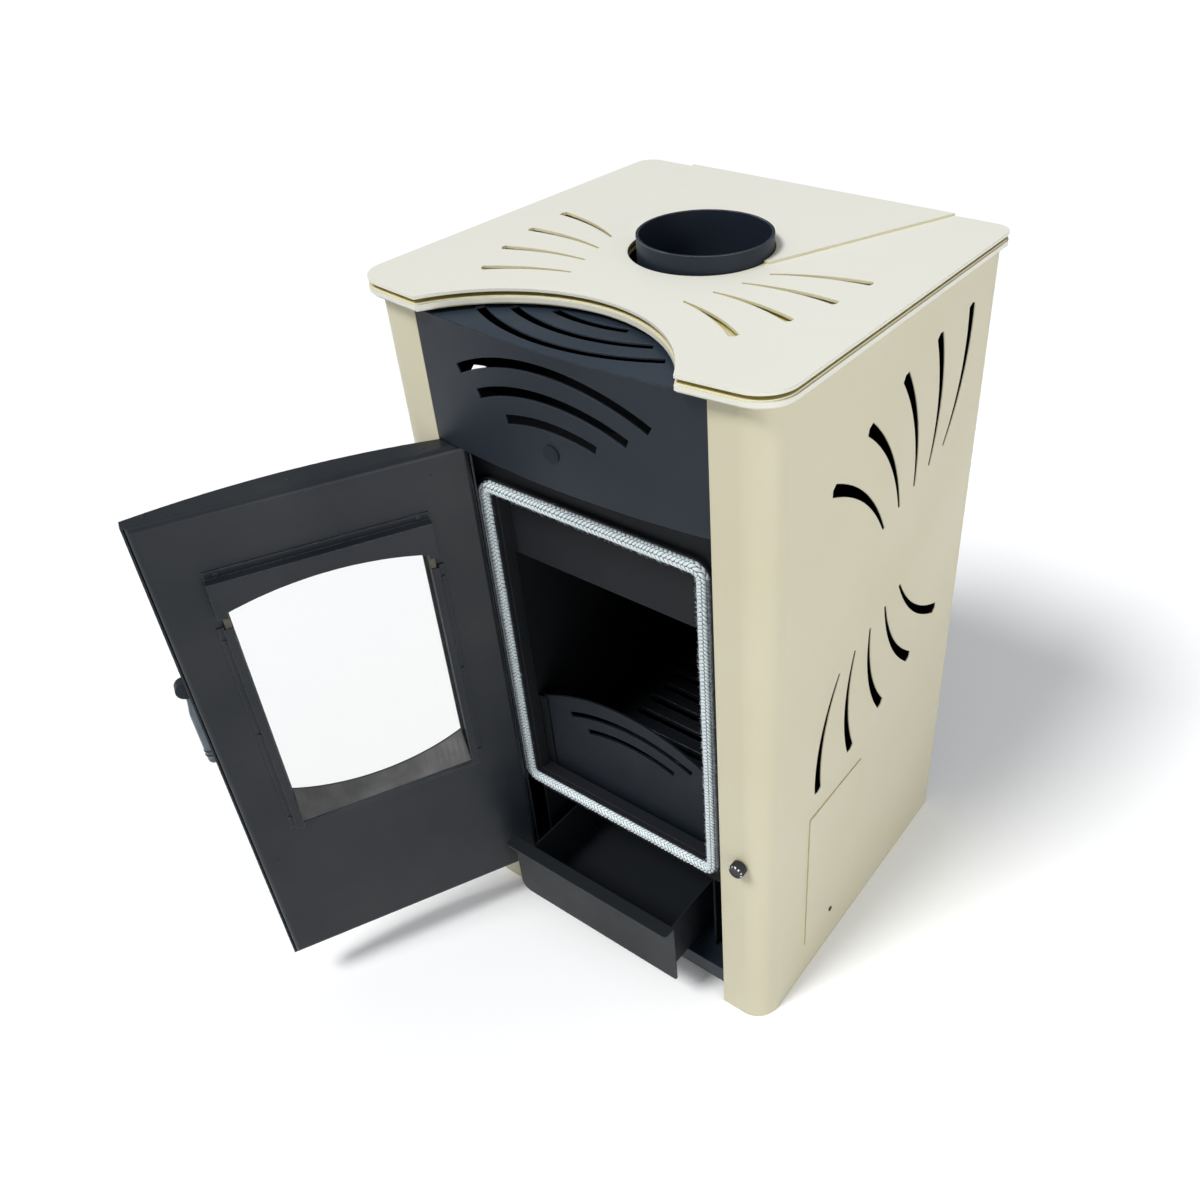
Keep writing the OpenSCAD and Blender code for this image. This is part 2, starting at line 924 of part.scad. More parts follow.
module rope_seal() {
    x = seal_w / 2;
    lx = seal_w - 2 * seal_r;
    lz = seal_top - seal_bottom - 2 * seal_r;
    color(rope_white) {
        rope_run([-x, seal_bottom + seal_r], lz, 0);
        rope_run([x, seal_bottom + seal_r], lz, 0);
        rope_run([seal_r - x, seal_bottom], lx, 90);
        rope_run([seal_r - x, seal_top], lx, 90);
        rope_turn([x - seal_r, seal_top - seal_r], 0);
        rope_turn([seal_r - x, seal_top - seal_r], 90);
        rope_turn([seal_r - x, seal_bottom + seal_r], 180);
        rope_turn([x - seal_r, seal_bottom + seal_r], 270);
    }
}

// ---------- hinges ----------

// Bracket from the plate's left fold to a round lug about the pin
module hinge_bracket(z0, y1) {
    lug_r = pin_r + 2;
    color(anthracite)
        difference() {
            union() {
                block([sheet_t - strap_x, strap_y, z0],
                    [hinge_x + lug_r, y1, z0 + bracket_t]);
                translate([hinge_x, hinge_y, z0])
                    cylinder(h = bracket_t, r = lug_r);
            }
            translate([hinge_x, hinge_y, z0 - 1])
                cylinder(h = bracket_t + 2, r = pin_r);
        }
}

module upper_hinge_bracket() {
    hinge_bracket(hood_z, front_y);
}

module lower_hinge_bracket() {
    hinge_bracket(door_bottom - washer_t - bracket_t, front_back);
}

module hinge_pins() {
    color(zinc) {
        translate([hinge_x, hinge_y, door_top - bush_l + 4])
            cylinder(h = hood_z + bracket_t + 2 - door_top + bush_l - 4, r = pin_r);
        translate([hinge_x, hinge_y, door_bottom - washer_t - bracket_t - 2])
            cylinder(h = washer_t + bracket_t + bush_l - 2, r = pin_r);
    }
}

module hinge_washer() {
    color(zinc)
        translate([hinge_x, hinge_y, door_bottom - washer_t])
            difference() {
                cylinder(h = washer_t, r = bush_r);
                translate([0, 0, -1])
                    cylinder(h = washer_t + 2, r = pin_r);
            }
}

// ---------- firebox ----------

// Side wall, whose upper end shields the casing above the roof
module firebox_wall(s) {
    x0 = s > 0 ? wall_in : -wall_in - firebox_t;
    color(soot)
        difference() {
            union() {
                block([x0, front_back, base_z], [x0 + firebox_t, firebox_back, roof_z]);
                block([x0, front_back + shield_in, roof_z - eps],
                    [x0 + firebox_t, firebox_back, shield_top]);
            }
            if (s > 0)
                translate([x0 - 1, duct_front + duct_d / 2, knob_z])
                    rotate([0, 90, 0])
                        cylinder(h = firebox_t + 2, r = air_hole_r);
        }
}

module firebox_left_wall() {
    firebox_wall(-1);
}

module firebox_right_wall() {
    firebox_wall(1);
}

module firebox_back_wall() {
    color(soot)
        block([-wall_in - firebox_t, firebox_back, base_z],
            [wall_in + firebox_t, firebox_back + firebox_t, roof_z]);
}

module firebox_roof() {
    color(anthracite)
        difference() {
            block([-wall_in, front_back, roof_z], [wall_in, firebox_back + firebox_t, firebox_top]);
            translate([flue_x, flue_y, roof_z - 1])
                cylinder(h = roof_t + 2, r = flue_ri, $fn = 180);
        }
    color(anthracite)
        block([-wall_in, front_back, front_high], [wall_in, front_back + firebox_t, roof_z]);
}

module hearth_plate() {
    color(soot)
        difference() {
            block([-wall_in, front_back, hearth_z], [wall_in, firebox_back, hearth_z + hearth_t]);
            block([grate_lap - grate_x, grate_y - grate_d / 2 + grate_lap, hearth_z - 1],
                [grate_x - grate_lap, grate_y + grate_d / 2 - grate_lap, hearth_z + hearth_t + 1]);
        }
}

module grate() {
    x = grate_x - grate_margin;
    w = grate_slot / 2;
    color(iron)
        translate([0, grate_y, hearth_z + hearth_t])
            linear_extrude(height = grate_t)
                difference() {
                    round_rect([-grate_x, -grate_d / 2], [grate_x, grate_d / 2], grate_corner_r);
                    for (i = [0:grate_n - 1])
                        translate([0, (i - (grate_n - 1) / 2) * grate_pitch])
                            round_rect([-x, -w], [x, w], w - eps);
                }
}

// Upright channels on the firebox walls that the log fence slides in
module fence_holders() {
    z0 = hearth_z + hearth_t;
    z1 = fence_z + fence_h - fence_end;
    y = fence_y + fence_t / 2;
    gap = fence_t / 2 + holder_gap;
    color(soot)
        for (s = [0, 1])
            mirror([s, 0, 0])
                for (k = [-1, 1])
                    block([fence_x - holder_lap, y + k * (gap + holder_t / 2) - holder_t / 2, z0],
                        [wall_in, y + k * (gap + holder_t / 2) + holder_t / 2, z1]);
}

// Log fence: a plate with an arched top and two arched slots
module log_fence() {
    r = (fence_x * fence_x + fence_end * fence_end) / (2 * fence_end);
    top = fence_z + fence_h;
    color(soot)
        wall_y(fence_y, fence_y + fence_t)
            difference() {
                intersection() {
                    square_between([-fence_x, hearth_z + hearth_t], [fence_x, top]);
                    translate([0, top - r])
                        circle(r, $fn = 360);
                }
                translate([fence_slot_x, top - r])
                    for (slot = fence_slots)
                        intersection() {
                            difference() {
                                circle(r - slot[0] + fence_slot_w / 2, $fn = 360);
                                circle(r - slot[0] - fence_slot_w / 2, $fn = 360);
                            }
                            polygon([[0, 0], 2 * r * along(90 + slot[1]), 2 * r * along(90 - slot[1])]);
                        }
            }
}

// Plate that hangs behind the top of the mouth
module drop_baffle() {
    x = mouth_x - mouth_t;
    color(anthracite)
        block([-x, front_y + mouth_depth, baffle_low], [x, front_y + mouth_depth + firebox_t, mouth_high]);
}

// Board over the fire, lying on its two ledges
module smoke_baffle() {
    color(board)
        block([seat - wall_in, front_back + smoke_gap, smoke_z],
            [wall_in - seat, firebox_back, smoke_z + smoke_t]);
}

module baffle_ledges() {
    color(soot)
        for (s = [0, 1])
            mirror([s, 0, 0])
                block([wall_in - ledge_w, front_back + smoke_gap + runner_in, smoke_z - firebox_t],
                    [wall_in, firebox_back, smoke_z]);
}

// ---------- ash drawer, drawn shut and then pulled out ----------

module pulled() {
    translate([drawer_off, -drawer_out, 0])
        children();
}

module drawer_runners() {
    color(zinc)
        for (s = [-1, 1])
            block([s * runner_x - runner_w / 2, front_back + runner_in, base_z],
                [s * runner_x + runner_w / 2, firebox_back - runner_in, drawer_low]);
}

module drawer_tray() {
    y0 = face_shut + tray_t;
    color(anthracite)
        pulled()
            difference() {
                block([-tray_half, y0, drawer_low], [tray_half, y0 + drawer_l, drawer_wall_top]);
                block([tray_t - tray_half, y0 + tray_t, drawer_low + tray_t],
                    [tray_half - tray_t, y0 + drawer_l - tray_t, drawer_wall_top + 1]);
            }
}

// Front of the drawer: a face with round lower corners, and a lip with a rolled edge
module drawer_front() {
    color(anthracite)
        pulled() {
            wall_y(face_shut, face_shut + tray_t)
                face_outline();
            translate([0, 0, drawer_top - tray_t])
                linear_extrude(height = tray_t)
                    lip_outline();
            translate([lip_corner_r - drawer_w / 2, lip_shut + lip_roll_r, drawer_top - lip_roll_r])
                rotate([0, 90, 0])
                    cylinder(h = drawer_w - 2 * lip_corner_r, r = lip_roll_r);
        }
}

module face_outline() {
    x = drawer_w / 2;
    r = face_hinge_r;
    translate([-x, face_low + r])
        square([drawer_w, drawer_h - r]);
    translate([r - x, face_low])
        square([drawer_w - r - face_far_r, r]);
    translate([x - face_far_r, face_low + face_far_r])
        square([face_far_r, r - face_far_r]);
    translate([r - x, face_low + r])
        circle(r);
    translate([x - face_far_r, face_low + face_far_r])
        circle(face_far_r);
}

// The lip from above, with round front corners
module lip_outline() {
    x = drawer_w / 2;
    translate([-x, lip_shut + lip_corner_r])
        square([drawer_w, lip_d - lip_corner_r + tray_t]);
    translate([lip_corner_r - x, lip_shut])
        square([drawer_w - 2 * lip_corner_r, lip_corner_r]);
    for (s = [-1, 1])
        translate([s * (x - lip_corner_r), lip_shut + lip_corner_r])
            circle(lip_corner_r);
}

// ---------- air control ----------

// Duct on the firebox's right wall, with a port that the shutter covers
module air_duct() {
    x0 = wall_in + firebox_t;
    x1 = knob_x + duct_rim;
    color(soot)
        difference() {
            block([x0, duct_front, knob_z - duct_h / 2], [x1, duct_front + duct_d, knob_z + duct_h / 2]);
            block([x0 - 1, duct_front + sheet_t, knob_z - duct_h / 2 + sheet_t],
                [x1 - sheet_t, duct_front + duct_d - sheet_t, knob_z + duct_h / 2 - sheet_t]);
            rod_y(knob_x, knob_z, duct_front - 1, duct_front + sheet_t + 1, air_rod_r + run_gap);
            for (a = [0, 180])
                rotate_about_rod(a)
                    rod_y(knob_x, knob_z + port_off, duct_front - 1, duct_front + sheet_t + 1, port_r);
        }
}

module rotate_about_rod(a) {
    translate([knob_x, 0, knob_z])
        rotate([0, a, 0])
            translate([-knob_x, 0, -knob_z])
                children();
}

module air_spindle() {
    color(zinc)
        rod_y(knob_x, knob_z, column_front - knob_gap, duct_front + sheet_t + boss_l, air_rod_r);
}

// Shutter disc: two ports that stand over the duct's, open at rest
module air_shutter() {
    y1 = duct_front - shutter_gap;
    color(zinc)
        difference() {
            union() {
                rod_y(knob_x, knob_z, y1 - sheet_t, y1, shutter_r);
                rod_y(knob_x, knob_z, y1 - sheet_t - boss_l, y1 - sheet_t, 2 * air_rod_r);
            }
            rod_y(knob_x, knob_z, y1 - sheet_t - boss_l - 1, y1 + 1, air_rod_r);
            for (a = [0, 180])
                rotate_about_rod(a)
                    rod_y(knob_x, knob_z + port_off, y1 - sheet_t - 1, y1 + 1, port_r);
        }
}

module air_knob() {
    y1 = column_front - knob_gap;
    groove = 0.9;
    color(anthracite)
        difference() {
            union() {
                rod_y(knob_x, knob_z, y1 - knob_l, y1 - knob_l + 1, knob_d / 2 - 0.8);
                rod_y(knob_x, knob_z, y1 - knob_l + 1, y1 - knob_neck, knob_d / 2);
                rod_y(knob_x, knob_z, y1 - knob_neck, y1, knob_d / 2 - 2);
            }
            for (i = [0:knurls - 1])
                rotate_about_rod(i * 360 / knurls)
                    rod_y(knob_x, knob_z + knob_d / 2, y1 - knob_l - 1, y1 - knob_neck + eps, groove);
        }
}

// ---------- door, drawn shut and then swung open ----------

module swung() {
    translate([hinge_x, hinge_y, 0])
        rotate([0, 0, -door_open])
            translate([-hinge_x, -hinge_y, 0])
                children();
}

// Plan of the bowed panel, drawn in by inset, open or shut at the back
module door_plan(inset, back) {
    intersection() {
        translate([0, door_apex + door_r])
            circle(door_r - inset, $fn = 720);
        translate([inset - door_x, door_apex])
            square([2 * (door_x - inset), back - door_apex]);
    }
}

// The outer window: upright sides between two arched edges
module window_outline() {
    intersection() {
        translate([win_off - win_x, 0])
            square([2 * win_x, stove_h]);
        translate([win_off, panel_win_low + win_r])
            circle(win_r, $fn = 240);
        translate([win_off, panel_win_high - win_r])
            circle(win_r, $fn = 240);
    }
}

// The swung door's frame, with x measured from the window's middle
module windowed() {
    swung()
        translate([win_off, 0, 0])
            children();
}

module hinge_holes(r) {
    for (z = [door_bottom, door_top])
        translate([hinge_x, hinge_y, z - bush_l - 1])
            cylinder(h = 2 * bush_l + 2, r = r);
}

module door_panel() {
    keep = slot_box();
    color(anthracite)
        swung()
            difference() {
                translate([0, 0, door_bottom])
                    linear_extrude(height = door_top - door_sheet - door_bottom)
                        door_plan(0, rim_back);
                translate([0, 0, door_bottom + door_sheet])
                    linear_extrude(height = door_top - door_bottom)
                        door_plan(door_sheet, rim_back + 1);
                wall_y(door_apex - 1, door_front + door_bow)
                    window_outline();
                hinge_holes(bush_r);
                rod_y(spindle_x, handle_z, door_apex, rim_back, bush_stem_r);
                block(keep[0], keep[1]);
            }
}

// Solid of the tray with rounded back edges, drawn in by inset
module tray_solid(inset) {
    r = tray_round - inset;
    x = tray_x - inset;
    z0 = tray_low + inset;
    z1 = tray_high - inset;
    y1 = door_in - inset;
    y0 = door_in - tray_depth;
    intersection() {
        translate([0, 0, z0])
            linear_extrude(height = z1 - z0) {
                translate([-x, y0])
                    square([2 * x, y1 - r - y0]);
                translate([r - x, y0])
                    square([2 * (x - r), y1 - y0]);
                for (s = [-1, 1])
                    translate([s * (x - r), y1 - r])
                        circle(r, $fn = 48);
            }
        wall_x(-x, x) {
            translate([y0, z0])
                square([y1 - r - y0, z1 - z0]);
            translate([y0, z0 + r])
                square([y1 - y0, z1 - z0 - 2 * r]);
            for (z = [z0 + r, z1 - r])
                translate([y1 - r, z])
                    circle(r, $fn = 48);
        }
    }
}

module door_tray() {
    keep = slot_box();
    color(anthracite)
        swung()
            difference() {
                union() {
                    tray_solid(0);
                    translate([0, 0, door_top - door_sheet])
                        linear_extrude(height = door_sheet)
                            door_plan(0, door_in - tray_round);
                }
                translate([0, -eps, 0])
                    tray_solid(door_sheet);
                wall_y(door_in - tray_depth - 1, door_in + 1)
                    translate([win_off - win_x, window_z])
                        square([2 * win_x, win_top - window_z]);
                hinge_holes(bush_r);
                block(keep[0], keep[1]);
            }
}

module door_bushes() {
    color(zinc)
        swung()
            for (z = [door_bottom, door_top - bush_l])
                translate([hinge_x, hinge_y, z])
                    difference() {
                        cylinder(h = bush_l, r = bush_r);
                        translate([0, 0, -1])
                            cylinder(h = bush_l + 2, r = pin_r + run_gap);
                    }
}

module door_glass() {
    color(glass_tint)
        windowed()
            block([-win_x - glass_lap, door_in, window_z - glass_foot],
                [win_x + glass_lap, door_in + glass_t, win_top]);
}

// Fibre tapes on the glass's upright edges, under the strips
module glass_tapes() {
    color(fibre)
        windowed()
            for (s = [0, 1])
                mirror([s, 0, 0])
                    block([win_x, door_in + glass_t, window_z],
                        [win_x + glass_lap, door_in + glass_t + tape_t, win_top - 1]);
}

// A strip that steps over the glass's edge: foot on the tray, lip over the tape
module glass_strip() {
    x0 = win_x;
    step = win_x + glass_lap + 0.5;
    y = door_in + glass_t + tape_t;
    difference() {
        union() {
            block([x0, y, strip_low], [step + strip_t, y + strip_t, strip_high]);
            block([step, door_in, strip_low], [step + strip_t, y + strip_t, strip_high]);
            block([step, door_in, strip_low], [x0 + strip_w, door_in + strip_t, strip_high]);
        }
        strip_screws_at()
            rod_y(0, 0, -1, strip_t + 1, screw_r - 1);
    }
}

module strip_screws_at() {
    for (z = [strip_low + strip_screw_in, (strip_low + strip_high) / 2, strip_high - strip_screw_in])
        translate([win_x + strip_w - 3, door_in, z])
            children();
}

module glass_strip_right() {
    color(anthracite)
        windowed()
            glass_strip();
}

module glass_strip_left() {
    color(anthracite)
        windowed()
            mirror([1, 0, 0])
                glass_strip();
}

// Air deflector: a flange on the tray, a step and a hanging plate with an arched edge
module air_deflector() {
    y1 = door_in + deflector_off;
    t = deflector_t;
    arch = deflector_arch;
    r = (win_x * win_x + arch * arch) / (2 * arch);
    color(anthracite)
        windowed()
            difference() {
                union() {
                    block([-deflector_x, door_in, deflector_high - t],
                        [deflector_x, door_in + t, deflector_high + deflector_flange]);
                    block([-deflector_x, door_in, deflector_high - t], [deflector_x, y1, deflector_high]);
                    block([-deflector_x, y1 - t, deflector_low], [deflector_x, y1, deflector_high]);
                }
                wall_y(y1 - t - 1, y1 + 1)
                    intersection() {
                        translate([0, deflector_low + deflector_step + arch - r])
                            circle(r, $fn = 240);
                        translate([-win_x, deflector_low - 1])
                            square([2 * win_x, 40]);
                    }
                deflector_screws_at()
                    rod_y(0, 0, -1, t + 1, screw_r - 1);
            }
}

module deflector_screws_at() {
    for (s = [-1, 1])
        translate([s * (win_x - 1), door_in, deflector_high + deflector_flange / 2])
            children();
}

// Pan-head screw standing on the tray, its shank through the piece it holds
module pan_screw(t) {
    rod_y(0, 0, 0, t, screw_r - 1);
    rod_y(0, 0, t, t + 1.2, screw_r);
}

module door_screws() {
    color(anthracite)
        windowed() {
            for (s = [0, 1])
                mirror([s, 0, 0])
                    strip_screws_at()
                        pan_screw(strip_t);
            deflector_screws_at()
                pan_screw(deflector_t);
        }
}

// ---------- handle ----------

// Flanged bush that carries the spindle through the door's panel
module spindle_bush() {
    color(anthracite)
        swung()
            difference() {
                union() {
                    rod_y(spindle_x, handle_z, bush_face, bush_face + 3, bush_flange_r);
                    rod_y(spindle_x, handle_z, bush_face + 3, door_in - tray_depth - 0.2, bush_stem_r);
                }
                rod_y(spindle_x, handle_z, bush_face - 1, tongue_front, spindle_r + run_gap);
            }
}

module handle_spindle() {
    color(zinc)
        swung()
            rod_y(spindle_x, handle_z, hub_back - hub_t - 0.5, tongue_front + tongue_t + 1.5, spindle_r);
}

// Pear-shaped hub: a small disc on the spindle and a large one past the door's edge
module handle_hub() {
    y0 = hub_back - hub_t;
    slope = asin((hub_big_r - hub_small_r) / hub_reach);
    color(anthracite)
        swung()
            difference() {
                union() {
                    rod_y(spindle_x, handle_z, y0, hub_back, hub_small_r);
                    rod_y(spindle_x + hub_reach, handle_z, y0, hub_back, hub_big_r);
                    wall_y(y0, hub_back)
                        translate([spindle_x, handle_z])
                            polygon([
                                (hub_small_r - 0.1) * along(90 + slope),
                                (hub_small_r - 0.1) * along(-90 - slope),
                                [hub_reach, 0] + (hub_big_r - 0.1) * along(-90 - slope),
                                [hub_reach, 0] + (hub_big_r - 0.1) * along(90 + slope)
                            ]);
                }
                rod_y(spindle_x, handle_z, y0 - 1, hub_back + 1, spindle_r);
                translate([spindle_x + hub_reach, hub_back - hub_t / 2, handle_z - hub_big_r - 1])
                    cylinder(h = hub_big_r, r = grip_neck_r);
            }
}

// Round grip that hangs from the hub: a neck, a barrel with a round end, and two rings
module handle_grip() {
    low = handle_z - handle_len + grip_r;
    color(chrome)
        swung()
            translate([spindle_x + hub_reach, hub_back - hub_t / 2, 0]) {
                translate([0, 0, handle_z - hub_big_r - 6])
                    cylinder(h = 5 + hub_big_r, r = grip_neck_r);
                translate([0, 0, low])
                    cylinder(h = handle_z - hub_big_r - 1 - low, r = grip_r);
                translate([0, 0, low])
                    sphere(grip_r);
                for (z = [6, 12])
                    translate([0, 0, low + z])
                        cylinder(h = 2, r = grip_r + 0.7);
            }
}

// Tongue on the spindle's inner end, hanging down while the latch is free
module latch_tongue() {
    r = tongue_w / 2 + 2;
    color(zinc)
        swung()
            difference() {
                union() {
                    rod_y(spindle_x, handle_z, tongue_front, tongue_front + tongue_t, r);
                    block([spindle_x - tongue_w / 2, tongue_front, handle_z - tongue_l + tongue_w / 2],
                        [spindle_x + tongue_w / 2, tongue_front + tongue_t, handle_z]);
                    rod_y(spindle_x, handle_z - tongue_l + tongue_w / 2, tongue_front,
                        tongue_front + tongue_t, tongue_w / 2);
                }
                rod_y(spindle_x, handle_z, tongue_front - 1, tongue_front + tongue_t + 1, spindle_r);
            }
}

left_side_panel();
right_side_panel();
rear_panel();
rear_panel_screws();
base_plate();
cornice_plate();
top_spacers();
top_plate();
flue_cover();
flue_collar();
hood_front();
hood_grille();
hood_plug();
access_cover();
access_screw();
front_plate();
rope_channel();
rope_seal();
latch_keeper();
upper_hinge_bracket();
lower_hinge_bracket();
hinge_pins();
hinge_washer();
firebox_left_wall();
firebox_right_wall();
firebox_back_wall();
firebox_roof();
hearth_plate();
grate();
fence_holders();
log_fence();
drop_baffle();
smoke_baffle();
baffle_ledges();
drawer_runners();
drawer_tray();
drawer_front();
air_duct();
air_spindle();
air_shutter();
air_knob();
door_panel();
door_tray();
door_bushes();
door_glass();
glass_tapes();
glass_strip_left();
glass_strip_right();
air_deflector();
door_screws();
spindle_bush();
handle_spindle();
handle_hub();
handle_grip();
latch_tongue();
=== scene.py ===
import json
import math

import bpy
import numpy as np
from mathutils import Matrix, Vector


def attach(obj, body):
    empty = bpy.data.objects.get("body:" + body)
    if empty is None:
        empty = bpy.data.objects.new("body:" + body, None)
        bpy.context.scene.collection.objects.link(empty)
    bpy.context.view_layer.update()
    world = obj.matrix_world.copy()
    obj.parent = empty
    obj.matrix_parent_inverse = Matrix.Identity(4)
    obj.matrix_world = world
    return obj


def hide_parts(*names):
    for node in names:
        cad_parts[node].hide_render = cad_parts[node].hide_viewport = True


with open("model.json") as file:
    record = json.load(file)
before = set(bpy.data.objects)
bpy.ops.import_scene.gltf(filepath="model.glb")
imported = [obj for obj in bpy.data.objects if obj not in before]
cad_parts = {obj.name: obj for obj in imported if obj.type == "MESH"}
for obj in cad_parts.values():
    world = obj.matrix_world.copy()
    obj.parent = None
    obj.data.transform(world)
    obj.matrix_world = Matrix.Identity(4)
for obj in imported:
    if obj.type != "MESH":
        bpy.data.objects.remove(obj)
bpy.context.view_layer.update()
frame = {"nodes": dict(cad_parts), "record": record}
scene = bpy.context.scene


# Worked out from the photograph's straight edges: angles in degrees, focal length and centre in its pixels
cameraLook = {
    "place": (0.6282, -0.8489, 1.2165), "azimuth": 34.983, "elevation": 36.801, "roll": -0.954,
    "focal": 1101.03, "imageSize": 1200, "centre": (730.8, 589.9), "sensor": 36, "near": 0.01, "far": 80,
}


# The view looks down by elevation from the side at azimuth, and right and up are turned about it by roll
def addCamera():
    look = cameraLook
    place = Vector(look["place"])
    azimuth, elevation, roll = (math.radians(look[key]) for key in ("azimuth", "elevation", "roll"))
    level = math.cos(elevation)
    ahead = Vector((-math.sin(azimuth) * level, math.cos(azimuth) * level, -math.sin(elevation)))
    right = ahead.cross(Vector((0, 0, 1))).normalized()
    up = right.cross(ahead)
    turnedRight = right * math.cos(roll) + up * math.sin(roll)
    turnedUp = up * math.cos(roll) - right * math.sin(roll)

    imageSize, centre = look["imageSize"], look["centre"]
    data = bpy.data.cameras.new("camera")
    data.sensor_width = look["sensor"]
    data.lens = look["focal"] / imageSize * data.sensor_width
    data.shift_x = (imageSize / 2 - centre[0]) / imageSize
    data.shift_y = (centre[1] - imageSize / 2) / imageSize
    data.clip_start, data.clip_end = look["near"], look["far"]
    camera = bpy.data.objects.new("camera", data)
    camera.matrix_world = Matrix((
        (turnedRight.x, turnedUp.x, -ahead.x, place.x),
        (turnedRight.y, turnedUp.y, -ahead.y, place.y),
        (turnedRight.z, turnedUp.z, -ahead.z, place.z),
        (0, 0, 0, 1),
    ))
    scene.collection.objects.link(camera)
    scene.camera = camera
    print("camera placed")


# Linear colour of a hex code: dark parts divided by 12.92, the rest shifted, scaled and raised to 2.4
def srgb(code):
    parts = [int(code[i:i + 2], 16) / 255 for i in (1, 3, 5)]
    return tuple(p / 12.92 if p <= 0.04045 else ((p + 0.055) / 1.055) ** 2.4 for p in parts) + (1,)


# Scale of a pattern whose real size is given in millimetres: how many of them fit in a metre
def perMetre(size):
    return 1000 / size


def newMaterial(name):
    material = bpy.data.materials.new(name)
    material.use_nodes = True
    tree = material.node_tree
    return material, tree, tree.nodes["Principled BSDF"]


# Gives a node's inputs their values, or a link where the value is another node's output
def plug(tree, node, inputs):
    for key, value in inputs.items():
        if isinstance(value, bpy.types.NodeSocket):
            tree.links.new(value, node.inputs[key])
        else:
            node.inputs[key].default_value = value


# Adds a node with its settings and links, and returns the output asked for. A colour Mix goes by
# number: its share is input 0, its two colours are 6 and 7, and its result is output 2.
def addNode(tree, kind, output, inputs=None, **settings):
    node = tree.nodes.new("ShaderNode" + kind)
    for key, value in settings.items():
        setattr(node, key, value)
    plug(tree, node, inputs or {})
    return node.outputs[output]


noiseSpan = {"From Min": 0.3, "From Max": 0.7}       # where most of a noise's values lie
wideSpan = {"From Min": 0.25, "From Max": 0.75}
narrowSpan = {"From Min": 0.35, "From Max": 0.65}
edgeSpan = {"From Min": 0.98, "From Max": 0.75}      # cosines of 11 and 41 degrees from the flat
edgeSamples = 4


# Normal of an edge rounded by radius, and how far it turns from the flat normal, from 0 to 1
def softEdge(tree, radius):
    normal = addNode(tree, "Bevel", "Normal", {"Radius": radius}, samples=edgeSamples)
    flat = addNode(tree, "NewGeometry", "Normal")
    match = addNode(tree, "VectorMath", "Value", {0: normal, 1: flat}, operation="DOT_PRODUCT")
    return normal, addNode(tree, "MapRange", "Result", {"Value": match, **edgeSpan, "To Min": 0, "To Max": 1})


# What a paint has unless it says otherwise. Sizes of patterns are in millimetres.
paintUsual = {
    "specular": 0.5, "edge": 0, "rubAndHighlight": 0.5, "leastRubAndHighlight": 0.15, "rubAndHighlightSize": 6.25, "rubAndHighlightColour": "#6c757e",
    "depth": 0.0004,
}

